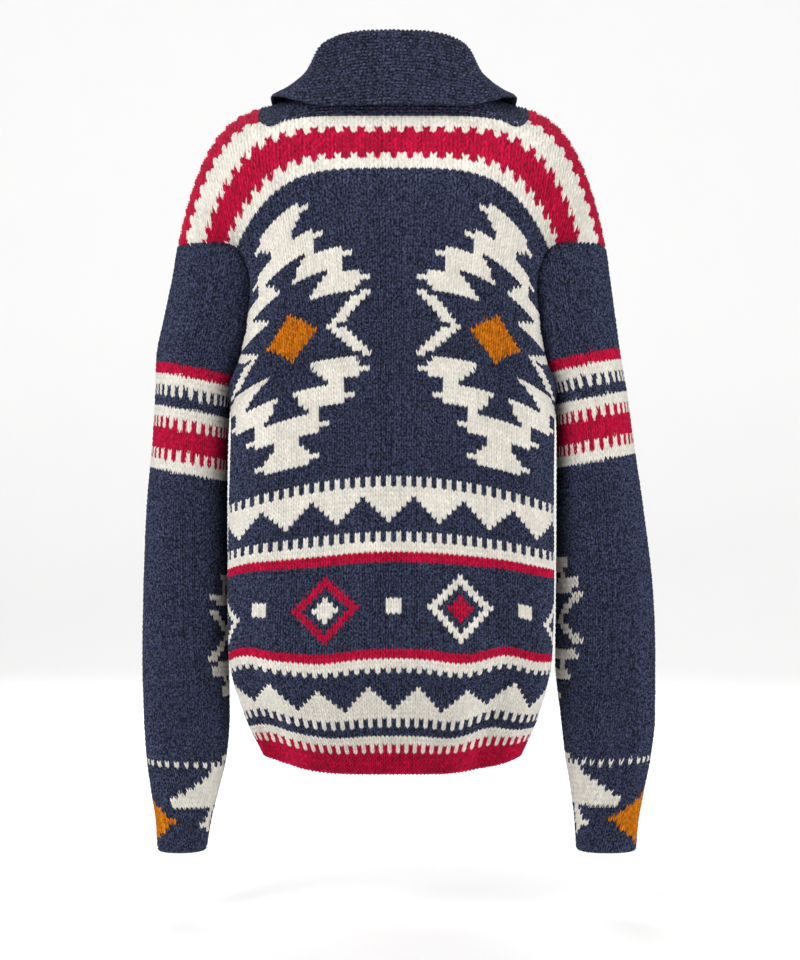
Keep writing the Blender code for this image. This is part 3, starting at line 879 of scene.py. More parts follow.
@dataclass
class MeshParts:
    """Vertices, polygons, finishes and map of one mesh, gathered before it is made."""

    vertices: list = field(default_factory=list)
    polygons: list = field(default_factory=list)
    finishes: list = field(default_factory=list)
    maps: list = field(default_factory=list)
    count: int = 0

    def add(self, vertices: Array, polygons: Array, finishes: Array, uv: Array) -> None:
        """Add polygons of one size.

        Args:
            vertices: points, one a line.
            polygons: corners of each polygon, counted within these vertices.
            finishes: finish index of each polygon.
            uv: place on the knit map of each corner.
        """
        self.polygons.append(polygons + self.count)
        self.vertices.append(vertices)
        self.finishes.append(np.asarray(finishes))
        self.maps.append(uv.reshape(-1, 2))
        self.count += len(vertices)

    def build(self, name: str, materials: list, sharp: float | None = None) -> bpy.types.Object:
        """Make the object.

        Args:
            name: name of the piece.
            materials: its finishes, in the order of their indices.
            sharp: angle in degrees past which an edge stays sharp.

        Returns:
            The new object, at the origin.
        """
        mesh = bpy.data.meshes.new(name)
        mesh.vertices.add(self.count)
        mesh.vertices.foreach_set("co", np.concatenate(self.vertices).astype(np.float32).ravel())
        corners = np.concatenate([p.ravel() for p in self.polygons]).astype(np.int32)
        sizes = np.concatenate([np.full(len(p), p.shape[1]) for p in self.polygons])
        starts = np.concatenate(([0], np.cumsum(sizes)[:-1])).astype(np.int32)
        mesh.loops.add(len(corners))
        mesh.loops.foreach_set("vertex_index", corners)
        mesh.polygons.add(len(sizes))
        mesh.polygons.foreach_set("loop_start", starts)
        mesh.polygons.foreach_set("material_index", np.concatenate(self.finishes).astype(np.int32))
        mesh.polygons.foreach_set("use_smooth", np.ones(len(sizes), dtype=bool))
        layer = mesh.uv_layers.new(name="Knit")
        layer.data.foreach_set("uv", np.concatenate(self.maps).astype(np.float32).ravel())
        mesh.update(calc_edges=True)
        mesh.validate()
        for material in materials:
            mesh.materials.append(material)
        if sharp is not None:
            mesh.set_sharp_from_angle(angle=math.radians(sharp))
        made = bpy.data.objects.new(name, mesh)
        bpy.context.scene.collection.objects.link(made)
        log.info("%s: %d polygons", name, len(sizes))
        return made


@dataclass
class Stitches:
    """Places of many stitches, each with its across, down and outward steps."""

    origin: Array
    across: Array
    down: Array
    out: Array
    yarn: Array

    @staticmethod
    def join(parts: list["Stitches"]) -> "Stitches":
        """Several sets of stitches as one."""
        names = ("origin", "across", "down", "out", "yarn")
        return Stitches(*(np.concatenate([getattr(p, n) for p in parts]) for n in names))


@dataclass(frozen=True)
class Leaf:
    """Plump strand of yarn, drawn as a ridge with pointed ends that sink into the cloth.

    Its line is given in stitches across, rows down and half widths; crest is how far it
    stands out of the cloth, in metres.
    """

    line: tuple
    crest: float
    sunk: float = 0.0002

    def shape(self) -> tuple[Array, Array, Array]:
        """Points, triangles and map of one strand.

        Returns:
            The points as across, down and out; the triangles; the map of each point.
        """
        line = np.array([p[:2] for p in self.line], dtype=float)
        half = np.array([p[2] for p in self.line], dtype=float)
        way = unit(np.gradient(line, axis=0))
        beside = np.stack((-way[:, 1], way[:, 0]), axis=1)
        points, rings, uv = [], [], []
        for i, (place, width) in enumerate(zip(line, half)):
            v = i / (len(line) - 1)
            if width == 0:
                points.append((*place, -self.sunk))
                rings.append([len(points) - 1] * 3)
                uv.append((0.5, v))
                continue
            rings.append([len(points) + k for k in range(3)])
            for k, rise in ((-1, -self.sunk), (0, self.crest), (1, -self.sunk)):
                points.append((*(place + beside[i] * width * k), rise))
                uv.append((0.5 + 0.45 * k, v))
        faces = []
        for a, b in zip(rings[:-1], rings[1:]):
            for k in (0, 1):
                for face in ((a[k], b[k], b[k + 1]), (a[k], b[k + 1], a[k + 1])):
                    if len(set(face)) == 3:
                        faces.append(face)
        return np.array(points), np.array(faces), np.array(uv)

    def mirrored(self) -> "Leaf":
        """The same strand on the other side of the stitch."""
        line = tuple((-x, y, w) for x, y, w in reversed(self.line))
        return Leaf(line, self.crest, self.sunk)


V_LEG = Leaf(
    ((0.04, 0.84, 0.0), (0.155, 0.36, 0.150), (0.300, -0.28, 0.165), (0.40, -0.80, 0.0)), 0.0016)
CHAIN = Leaf(
    ((-0.62, 0.05, 0.0), (-0.22, -0.03, 0.30), (0.22, -0.03, 0.30), (0.62, 0.05, 0.0)), 0.0014)
PURL = Leaf(
    ((-0.60, 0.22, 0.0), (-0.20, 0.07, 0.36), (0.22, -0.10, 0.36), (0.60, -0.26, 0.0)), 0.0016)


@dataclass
class Knitter:
    """Lays strands of yarn over stitches, each a little uneven."""

    leaves: tuple
    seed: int
    turn: float = 0.035
    shift: float = 0.03
    swell: float = 0.05
    raised: float = 0.08
    tones: int = 64

    def knit(self, stitches: Stitches, parts: MeshParts) -> None:
        """Add every strand to the mesh.

        Args:
            stitches: where the strands go.
            parts: the mesh that receives them.
        """
        rng = np.random.default_rng(self.seed)
        for leaf in self.leaves:
            points, faces, uv = leaf.shape()
            count = len(stitches.origin)
            swing = rng.normal(0.0, self.turn, count)
            size = 1.0 + rng.normal(0.0, self.swell, count)
            moved = rng.normal(0.0, self.shift, (count, 2))
            lift = 1.0 + rng.normal(0.0, self.raised, count)
            cosine, sine = np.cos(swing)[:, None], np.sin(swing)[:, None]
            x, y = points[None, :, 0] * size[:, None], points[None, :, 1] * size[:, None]
            rise = points[None, :, 2]
            s = x * cosine - y * sine + moved[:, :1]
            t = x * sine + y * cosine + moved[:, 1:]
            h = np.where(rise > 0, rise * lift[:, None], rise)
            place = stitches.origin[:, None] + s[..., None] * stitches.across[:, None]
            place = place + t[..., None] * stitches.down[:, None]
            place = place + h[..., None] * stitches.out[:, None]
            corners = faces[None] + (np.arange(count) * len(points))[:, None, None]
            tone = rng.integers(0, self.tones, count)
            map_at = uv[faces][None] + np.stack((tone, tone * 0), axis=1)[:, None, None]
            parts.add(place.reshape(-1, 3), corners.reshape(-1, 3),
                      np.repeat(stitches.yarn, len(faces)), map_at)


@dataclass
class Shell:
    """Thin cloth under the stitches: two faces and the rims between them."""

    face: Array
    out: Array
    yarn: Array
    uv: Array
    closed: bool = False
    outer_depth: float = GROUND_DEPTH
    inner_depth: float = 0.0027

    def quads(self, rows: Array, columns: Array, order: tuple) -> Array:
        """Corners of quads from row and column steps.

        Args:
            rows: row of each quad's first corner.
            columns: column of each quad's first corner.
            order: the four corners as steps in row, column and layer.

        Returns:
            The vertex number and the map place of each corner.
        """
        wide = self.face.shape[1]
        total = self.face.shape[0] * wide
        numbers, places = [], []
        for row_step, column_step, layer in order:
            r, c = rows + row_step, columns + column_step
            numbers.append(r * wide + c % wide + layer * total)
            places.append(self.uv[r, c])
        return np.stack(numbers, axis=1), np.stack(places, axis=1)

    def add_to(self, parts: MeshParts) -> None:
        """Add both faces and the rims to a mesh.

        Args:
            parts: the mesh that receives them.
        """
        high, wide = self.face.shape[:2]
        last = wide if self.closed else wide - 1
        vertices = np.concatenate((
            (self.face - self.out * self.outer_depth).reshape(-1, 3),
            (self.face - self.out * self.inner_depth).reshape(-1, 3)))
        cells = np.meshgrid(np.arange(high - 1), np.arange(last), indexing="ij")
        rows, columns = (cell.ravel() for cell in cells)
        yarn = self.yarn[rows, columns]
        outer = self.quads(rows, columns, ((0, 0, 0), (1, 0, 0), (1, 1, 0), (0, 1, 0)))
        inner = self.quads(rows, columns, ((0, 0, 1), (0, 1, 1), (1, 1, 1), (1, 0, 1)))
        rim = np.arange(last)
        top = self.quads(rim * 0, rim, ((0, 0, 0), (0, 1, 0), (0, 1, 1), (0, 0, 1)))
        foot = self.quads(rim * 0 + high - 2, rim, ((1, 1, 0), (1, 0, 0), (1, 0, 1), (1, 1, 1)))
        groups = [(outer, yarn), (inner, yarn), (top, self.yarn[0, :last]),
                  (foot, self.yarn[-1, :last])]
        if not self.closed:
            rim = np.arange(high - 1)
            start = self.quads(rim, rim * 0, ((1, 0, 0), (0, 0, 0), (0, 0, 1), (1, 0, 1)))
            end = self.quads(rim, rim * 0 + wide - 2, ((0, 1, 0), (1, 1, 0), (1, 1, 1), (0, 1, 1)))
            groups += [(start, self.yarn[:, 0]), (end, self.yarn[:, -1])]
        parts.add(vertices, np.concatenate([g[0][0] for g in groups]),
                  np.concatenate([g[1] for g in groups]), np.concatenate([g[0][1] for g in groups]))


def grid_normals(points: Array, closed: bool = False) -> Array:
    """Outward directions of a grid whose rows run down and columns across.

    Args:
        points: the grid, with down × across pointing outwards.
        closed: whether the last column meets the first.

    Returns:
        One direction for each point.
    """
    down = np.gradient(points, axis=0)
    if closed:
        across = np.roll(points, -1, axis=1) - np.roll(points, 1, axis=1)
    else:
        across = np.gradient(points, axis=1)
    return unit(np.cross(down, across))


def blend_rim(out: Array, rim: Array, edge: int, step: int) -> None:
    """Turn the directions beside a seam towards those of the seam.

    Args:
        out: directions of the cloth, changed in place, with its columns along the seam.
        rim: directions along the seam.
        edge: the column at the seam.
        step: way from the seam into the cloth, 1 or -1.
    """
    for k, weight in enumerate(RIM_WEIGHTS):
        column = edge + step * k
        out[:, column] = unit(out[:, column] * (1 - weight) + rim * weight)


def edge_chain(points: Array, yarn: Yarn) -> Stitches:
    """Chain of stitches along the last row of a lattice with half steps.

    Args:
        points: the lattice, its last three rows at least.
        yarn: the yarn of the chain.

    Returns:
        One stitch for each whole step along the row.
    """
    down = (points[-1] - points[-3])[1:-1:2]
    origin, across = points[-1, 1:-1:2], points[-1, 2::2] - points[-1, :-2:2]
    out = unit(np.cross(down, across))
    origin = origin - out * GROUND_DEPTH - unit(down) * EDGE_INSET
    return Stitches(origin, across, down, out, np.full(len(origin), int(yarn)))


# Finishes.


class NodeTree:
    """Small helper that adds nodes to a tree and links them."""

    def __init__(self, tree: bpy.types.NodeTree) -> None:
        """Keep the tree."""
        self.tree = tree

    def add(self, kind: str, inputs: dict | None = None, **settings: object) -> bpy.types.Node:
        """Add one node.

        Args:
            kind: the node's type.
            inputs: value or source socket for inputs, by name or number.
            settings: the node's own settings.

        Returns:
            The new node.
        """
        node = self.tree.nodes.new(kind)
        for name, value in settings.items():
            setattr(node, name, value)
        for name, value in (inputs or {}).items():
            if isinstance(value, bpy.types.NodeSocket):
                self.tree.links.new(value, node.inputs[name])
            else:
                node.inputs[name].default_value = value
        return node

    def math(self, operation: str, first: object, second: object = 0.0) -> bpy.types.NodeSocket:
        """Result of a Math node."""
        return self.add("ShaderNodeMath", {0: first, 1: second}, operation=operation).outputs[0]


def new_group(name: str, inputs: dict, outputs: dict) -> tuple[bpy.types.NodeTree, NodeTree]:
    """Shader node group with its sockets.

    Args:
        name: name of the group.
        inputs: socket type by name of each input.
        outputs: socket type by name of each output.

    Returns:
        The group, and a helper for its nodes.
    """
    group = bpy.data.node_groups.new(name, "ShaderNodeTree")
    for direction, sockets in (("INPUT", inputs), ("OUTPUT", outputs)):
        for socket, kind in sockets.items():
            group.interface.new_socket(name=socket, in_out=direction, socket_type=kind)
    return group, NodeTree(group)


def build_flecks_group() -> bpy.types.NodeTree:
    """Mottling of a marled yarn: flecks, slow clouds and a tone for each strand.

    Returns:
        The group.
    """
    group, nodes = new_group(
        "yarn_flecks", {"Size": "NodeSocketFloat", "Contrast": "NodeSocketFloat"},
        {"Fleck": "NodeSocketFloat", "Cloud": "NodeSocketFloat", "Tone": "NodeSocketFloat"})
    entry, leave = nodes.add("NodeGroupInput"), nodes.add("NodeGroupOutput")
    place = nodes.add("ShaderNodeTexCoord").outputs["Object"]
    fine = nodes.add("ShaderNodeTexNoise", {
        "Vector": place, "Scale": entry.outputs["Size"], "Detail": 2.5, "Roughness": 0.62})
    above = nodes.math("SUBTRACT", fine.outputs["Fac"], 0.5)
    spread = nodes.math("MULTIPLY", above, entry.outputs["Contrast"])
    fleck = nodes.add("ShaderNodeMath", {0: spread, 1: 0.42}, operation="ADD", use_clamp=True)
    cloud = nodes.add("ShaderNodeTexNoise", {"Vector": place, "Scale": 38.0, "Detail": 2.0})
    strand = nodes.add("ShaderNodeUVMap", uv_map="Knit").outputs["UV"]
    number = nodes.math("FLOOR", nodes.add("ShaderNodeSeparateXYZ", {"Vector": strand}).outputs[0])
    tone = nodes.add("ShaderNodeTexWhiteNoise", {"W": number}, noise_dimensions="1D")
    nodes.tree.links.new(fleck.outputs[0], leave.inputs["Fleck"])
    nodes.tree.links.new(tone.outputs["Value"], leave.inputs["Tone"])
    nodes.tree.links.new(cloud.outputs["Fac"], leave.inputs["Cloud"])
    return group


def twist_phase(
    nodes: NodeTree, across: bpy.types.NodeSocket, along: bpy.types.NodeSocket
) -> bpy.types.NodeSocket:
    """Phase of the grooves that wind round a plied strand."""
    slant = nodes.math("ADD", nodes.math("MULTIPLY", across, 0.8), along)
    return nodes.math("MULTIPLY", slant, 22.0)


def purl_phase(
    nodes: NodeTree, across: bpy.types.NodeSocket, along: bpy.types.NodeSocket
) -> bpy.types.NodeSocket:
    """Phase of the rows of small arcs on the purl side.

    Args:
        nodes: the tree that gets the nodes.
        across: place across the knitting, in stitches.
        along: place along it, in rows.

    Returns:
        The socket that gives the phase.
    """
    sway = nodes.math("SINE", nodes.math("MULTIPLY", across, 2 * math.pi))
    rows = nodes.math("ADD", along, nodes.math("MULTIPLY", sway, 0.22))
    return nodes.math("MULTIPLY", rows, math.pi)


def build_relief_group(
    name: str, phase: Callable, fibre_size: float, strength: float, distance: float
) -> bpy.types.NodeTree:
    """Relief of the yarn: grooves that follow the knit map, with loose fibres.

    Args:
        name: name of the group.
        phase: makes the phase of the grooves from the two places on the map.
        fibre_size: scale of the loose fibres' noise.
        strength: strength of the bump.
        distance: its distance.

    Returns:
        The group.
    """
    group, nodes = new_group(
        name, {"Depth": "NodeSocketFloat", "Fuzz": "NodeSocketFloat"},
        {"Normal": "NodeSocketVector"})
    entry, leave = nodes.add("NodeGroupInput"), nodes.add("NodeGroupOutput")
    strand = nodes.add("ShaderNodeUVMap", uv_map="Knit").outputs["UV"]
    parts = nodes.add("ShaderNodeSeparateXYZ", {"Vector": strand})
    wave = nodes.math("SINE", phase(nodes, parts.outputs[0], parts.outputs[1]))
    swell = nodes.math("MULTIPLY", nodes.math("ABSOLUTE", wave), entry.outputs["Depth"])
    place = nodes.add("ShaderNodeTexCoord").outputs["Object"]
    fibre = nodes.add("ShaderNodeTexNoise", {"Vector": place, "Scale": fibre_size, "Detail": 3.0})
    fuzz = nodes.math("MULTIPLY", fibre.outputs["Fac"], entry.outputs["Fuzz"])
    bump = nodes.add("ShaderNodeBump", {
        "Height": nodes.math("ADD", swell, fuzz), "Strength": strength, "Distance": distance})
    nodes.tree.links.new(bump.outputs["Normal"], leave.inputs["Normal"])
    return group


@dataclass(frozen=True)
class YarnFinish:
    """Matt wool in one colour, with its flecks, ply and fuzz, and a darker ground copy that is
    painted shade between the stitches.
    """

    name: str
    dark: tuple
    light: tuple
    fleck_size: float
    contrast: float
    sheen: float
    roughness: float
    uneven: float
    ground_shade: float
    sheen_roughness: float = 0.45
    shine: float = 0.22
    fuzz: float = 0.8
    strand_depth: float = 0.8
    cloudiness: float = 0.25
    fleck_gloss: float = 0.06

    def material(
        self, face: Face, flecks: bpy.types.NodeTree, relief: bpy.types.NodeTree
    ) -> bpy.types.Material:
        """Make the material.

        Args:
            face: whether it covers raised strands or the ground between them; the ground's colour
                is darkened as painted shade.
            flecks: group that mottles the yarn.
            relief: group that gives its surface.

        Returns:
            The finished material.
        """
        made = bpy.data.materials.new(f"{self.name}_{face.value}")
        made.use_nodes = True
        nodes = NodeTree(made.node_tree)
        shader = made.node_tree.nodes["Principled BSDF"]
        shader.inputs["Sheen Weight"].default_value = self.sheen
        shader.inputs["Sheen Roughness"].default_value = self.sheen_roughness
        shader.inputs["Sheen Tint"].default_value = (*self.light, 1.0)
        shader.inputs["Specular IOR Level"].default_value = self.shine
        mottle = nodes.add("ShaderNodeGroup", node_tree=flecks)
        mottle.inputs["Size"].default_value = self.fleck_size
        mottle.inputs["Contrast"].default_value = self.contrast
        form = nodes.add("ShaderNodeGroup", node_tree=relief)
        form.inputs["Depth"].default_value = self.strand_depth if face is Face.STITCH else 1.0
        form.inputs["Fuzz"].default_value = self.fuzz
        fleck = mottle.outputs["Fleck"]
        blend = nodes.add("ShaderNodeMix", {"Factor": fleck}, data_type="RGBA")
        blend_a, blend_b = [s for s in blend.inputs if s.type == "RGBA"]
        blend_a.default_value = (*self.dark, 1.0)
        blend_b.default_value = (*self.light, 1.0)
        mixed = [s for s in blend.outputs if s.type == "RGBA"][0]
        cloud = nodes.math("SUBTRACT", mottle.outputs["Cloud"], 0.5)
        cloud = nodes.math("MULTIPLY", cloud, self.cloudiness)
        tone = nodes.math("SUBTRACT", mottle.outputs["Tone"], 0.5)
        tone = nodes.math("MULTIPLY", tone, self.uneven)
        # Painted shade: the ground finish, which covers the cloth between the stitches, its inner
        # face and rims, gets a darker value than the raised strands.
        depth = 1.0 if face is Face.STITCH else self.ground_shade
        value = nodes.math("ADD", nodes.math("ADD", cloud, tone), depth)
        colour = nodes.add("ShaderNodeHueSaturation", {"Color": mixed, "Value": value})
        gloss = nodes.math("MULTIPLY", fleck, -self.fleck_gloss)
        rough = nodes.math("ADD", gloss, self.roughness)
        link = made.node_tree.links.new
        link(colour.outputs["Color"], shader.inputs["Base Color"])
        link(rough, shader.inputs["Roughness"])
        link(form.outputs["Normal"], shader.inputs["Normal"])
        return made


# The last number of each finish darkens its ground copy, as painted shade between the stitches.
YARN_FINISHES = {
    Yarn.NAVY: YarnFinish(
        "navy_melange", dark=(0.0065, 0.0088, 0.0205), light=(0.078, 0.094, 0.182),
        fleck_size=440.0, contrast=4.8, sheen=0.08, roughness=0.92, uneven=0.40, ground_shade=0.48),
    Yarn.CREAM: YarnFinish(
        "cream_wool", dark=(0.78, 0.74, 0.655), light=(0.96, 0.925, 0.86),
        fleck_size=240.0, contrast=2.2, sheen=0.10, roughness=0.90, uneven=0.16, ground_shade=0.84),
    Yarn.CRIMSON: YarnFinish(
        "crimson_wool", dark=(0.40, 0.001, 0.031), light=(0.72, 0.003, 0.070),
        fleck_size=260.0, contrast=3.0, sheen=0.05, roughness=0.90, uneven=0.34, ground_shade=0.62),
    Yarn.MUSTARD: YarnFinish(
        "mustard_wool", dark=(0.46, 0.125, 0.002), light=(0.86, 0.28, 0.003),
        fleck_size=260.0, contrast=3.0, sheen=0.06, roughness=0.90, uneven=0.34, ground_shade=0.60),
}
COLLAR_FINISH = YarnFinish(
    "midnight_melange", dark=(0.006, 0.008, 0.016), light=(0.070, 0.084, 0.160),
    fleck_size=440.0, contrast=5.0, sheen=0.08, roughness=0.93, uneven=0.48, ground_shade=0.48)


@dataclass
class Wardrobe:
    """All finishes, made once."""

    stitch: list = field(default_factory=list)
    ground: list = field(default_factory=list)
    collar_stitch: list = field(default_factory=list)
    collar_ground: list = field(default_factory=list)

    def fill(self) -> "Wardrobe":
        """Build the groups and the materials.

        Returns:
            The wardrobe itself.
        """
        flecks = build_flecks_group()
        twist = build_relief_group("ply_twist", twist_phase, 2600.0, 0.6, 0.0006)
        purl = build_relief_group("purl_rows", purl_phase, 2200.0, 0.9, 0.0016)
        # Ground finishes are darker copies of the yarns, painted shade for the cloth between the
        # stitches; the collar's too.
        for yarn in Yarn:
            self.stitch.append(YARN_FINISHES[yarn].material(Face.STITCH, flecks, twist))
            self.ground.append(YARN_FINISHES[yarn].material(Face.GROUND, flecks, purl))
        self.collar_stitch.append(COLLAR_FINISH.material(Face.STITCH, flecks, twist))
        self.collar_ground.append(COLLAR_FINISH.material(Face.GROUND, flecks, purl))
        return self


def dress(node: str, cloth: bpy.types.Object, stitches: list, flat: tuple, area: float) -> None:
    """Fix a piece to the frame.

    Args:
        node: the solid that it stands for.
        cloth: its shell.
        stitches: the raised yarn on it.
        flat: width and length of its cut; not used.
        area: area of its cut; not used.
    """
    for piece in (cloth, *stitches):
        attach(piece, "root")
    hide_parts(node)
    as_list(stitches)


# Pieces.


def facing_out(side: Side, grid: Array) -> Array:
    """Grid with its columns in the order that faces outwards on one side."""
    return grid if side is Side.LEFT else grid[:, ::-1]


def knit_piece(
    name: str, piece: "Back | Front | Sleeve", edge: Stitches, seeds: tuple, wardrobe: Wardrobe
) -> list[bpy.types.Object]:
    """Make a knitted piece as a thin cloth and the stitches on it.

    Args:
        name: name of the piece.
        piece: the piece, which gives its cloth, its stitches and its cut.
        edge: its cast-off edge.
        seeds: seeds for the unevenness of the stitches and of the edge.
        wardrobe: the finishes.

    Returns:
        The cloth's object and the stitches' object.
    """
    shell, yarn = MeshParts(), MeshParts()
    piece.shell().add_to(shell)
    Knitter((V_LEG, V_LEG.mirrored()), seed=seeds[0]).knit(piece.knit(), yarn)
    Knitter((CHAIN,), seed=seeds[1]).knit(edge, yarn)
    # The cloth takes the ground finishes, which are darkened as painted shade.
    made = [shell.build(name + "_shell", wardrobe.ground, CREASE_ANGLE),
            yarn.build(name + "_stitches", wardrobe.stitch)]
    dress(name, made[0], made[1:], piece.flat, piece.area)
    return made


@dataclass
class PanelKnit:
    """Knitting shared by the back and the fronts."""

    chart: PanelChart = field(default_factory=PanelChart)
    yoke_pitch: float = 0.0081
    pitch_rows: tuple = (13, 30, 40, 46)
    pitches: tuple = (0.0062, 0.0060, 0.0057, 0.0056)
    even_rows: int = 4
    widest: int = 41

    @staticmethod
    def read_lattice(points: Array, yarn: Array, keep: Array) -> Stitches:
        """Stitches from a lattice with points at every half row and half stitch.

        Args:
            points: the lattice, with down × across pointing outwards.
            yarn: yarn of each stitch.
            keep: which stitches there are.

        Returns:
            The stitches kept.
        """
        origin = (points[1::2, 2::2] + points[1::2, 0:-2:2]) / 2
        across = points[1::2, 2::2] - points[1::2, 0:-2:2]
        down = points[2::2, 1::2] - points[0:-2:2, 1::2]
        keep = keep & (np.linalg.norm(across, axis=-1) > NARROWEST_STITCH)
        out = unit(np.cross(down, across))
        origin = origin - out * GROUND_DEPTH
        return Stitches(*(a[keep] for a in (origin, across, down, out, yarn)))

    def unit_share(self, panel: Panel, row: float, yoke: bool) -> float:
        """Width of one stitch at a row.

        Args:
            panel: the half panel or front.
            row: its row.
            yoke: whether the row is one of the yoke's wide ones.

        Returns:
            The width as a share of the half panel.
        """
        length = panel.curve(row)[1][-1]
        if yoke:
            return self.yoke_pitch / length
        pitch = float(np.interp(row, self.pitch_rows, self.pitches))
        even = float(ramp(row, self.pitch_rows[-1], self.pitch_rows[-1] + self.even_rows))
        return pitch / length * (1 - even) + even / self.chart.body_stitches

    def shares(self, panel: Panel, rows: Array, stitches: Array, yoke: bool) -> Array:
        """Places of stitches along each row, cut off at the half panel's end."""
        units = np.array([self.unit_share(panel, float(row), yoke) for row in rows])
        return np.minimum(np.abs(stitches)[None] * units[:, None], 1.0)

    def zones(self, top: int) -> list[tuple[int, int, bool]]:
        """First row and last row of the yoke and of the rest, for a panel's top row."""
        change = self.chart.yoke_rows + top
        return [(top, change, True), (change, HEM_ROW, False)]

    @staticmethod
    def seam_out(panel: Panel, rows: Array, own: Array) -> Array:
        """Directions of the cloth's thickness along the armhole and the side seam.

        Args:
            panel: the half panel or front.
            rows: its rows.
            own: direction of its surface at each row's end.

        Returns:
            One direction for each row.
        """
        beside = PANELS[(not panel.front, panel.side)]
        rim = own.copy()
        upper = rows <= UNDERARM_ROW
        rim[upper] = ARMHOLES[panel.side].panel_out(panel.front, rows[upper])
        for i in np.flatnonzero(~upper):
            rim[i] = unit(rim[i] + beside.normal(float(rows[i]), 1.0))
        return rim


@dataclass
class Back(PanelKnit):
    """The back, one piece of knitting from side seam to side seam."""

    flat: tuple = (0.43, 0.69)
    area: float = 0.27

    @staticmethod
    def halves(stitches: Array) -> tuple:
        """Both half panels, each with the stitches that lie on it."""
        return ((PANELS[(False, Side.LEFT)], stitches < 0),
                (PANELS[(False, Side.RIGHT)], stitches >= 0))

    def lattice(self, rows: Array, stitches: Array, yoke: bool) -> Array:
        """Grid over both halves, from the wearer's left to the right.

        Args:
            rows: the knitted rows.
            stitches: stitches from the middle.
            yoke: whether the rows are the yoke's wide ones.

        Returns:
            A grid of points, rows first.
        """
        return np.concatenate([
            panel.grid(rows, self.shares(panel, rows, stitches[chosen], yoke))
            for panel, chosen in self.halves(stitches)], axis=1)

    def knit(self) -> Stitches:
        """All stitches of the back.

        Returns:
            The stitches of the yoke, then those of the body.
        """
        found = []
        for first, last, yoke in self.zones(SHOULDER_ROW_BACK):
            rows = np.arange(2 * first, 2 * last + 1) / 2
            stitches = np.arange(-2 * self.widest - 1, 2 * self.widest + 2) / 2
            columns = range(-self.widest, self.widest + 1)
            yarn = np.array([[self.chart.yarn(r, s) for s in columns] for r in range(first, last)])
            found.append(self.read_lattice(
                self.lattice(rows, stitches, yoke), yarn, np.ones(yarn.shape, dtype=bool)))
        return Stitches.join(found)

    def shell(self) -> Shell:
        """Thin cloth of the back, one cell to a stitch.

        Returns:
            The cloth.
        """
        per_half = self.chart.body_stitches
        rows = np.arange(0, HEM_ROW + 1)
        stitches = np.arange(-per_half, per_half) + 0.5
        stitches = np.concatenate(([-per_half], stitches, [per_half]))
        shares = np.abs(stitches) / per_half
        points = np.concatenate([
            panel.grid(rows, shares[chosen]) for panel, chosen in self.halves(stitches)], axis=1)
        out = grid_normals(points)
        for side, end, step in ((Side.LEFT, 0, 1), (Side.RIGHT, -1, -1)):
            blend_rim(out, self.seam_out(PANELS[(False, side)], rows, out[:, end]), end, step)
        yarn = np.zeros((HEM_ROW, len(stitches) - 1), dtype=int)
        for row in range(HEM_ROW):
            yoke = row < self.chart.yoke_rows
            scale = {side: self.unit_share(PANELS[(False, side)], row + 0.5, yoke)
                     for side in Side}
            for j, middle in enumerate((stitches[1:] + stitches[:-1]) / 2):
                side = Side.LEFT if middle < 0 else Side.RIGHT
                yarn[row, j] = self.chart.yarn(row, round(middle / per_half / scale[side]))
        uv = np.stack(np.broadcast_arrays(stitches[None], rows[:, None].astype(float)), axis=-1)
        return Shell(points, out, yarn, uv)

    def hem(self) -> Stitches:
        """Cast-off edge.

        Returns:
            Its chain of stitches.
        """
        per_half = self.chart.body_stitches
        stitches = np.arange(-2 * per_half, 2 * per_half + 1) / 2
        return edge_chain(self.lattice(HEM_ROWS, stitches, False), Yarn.CRIMSON)

    def build(self, wardrobe: Wardrobe) -> list[bpy.types.Object]:
        """Make the back's cloth and stitches."""
        return knit_piece("back", self, self.hem(), (11, 12), wardrobe)


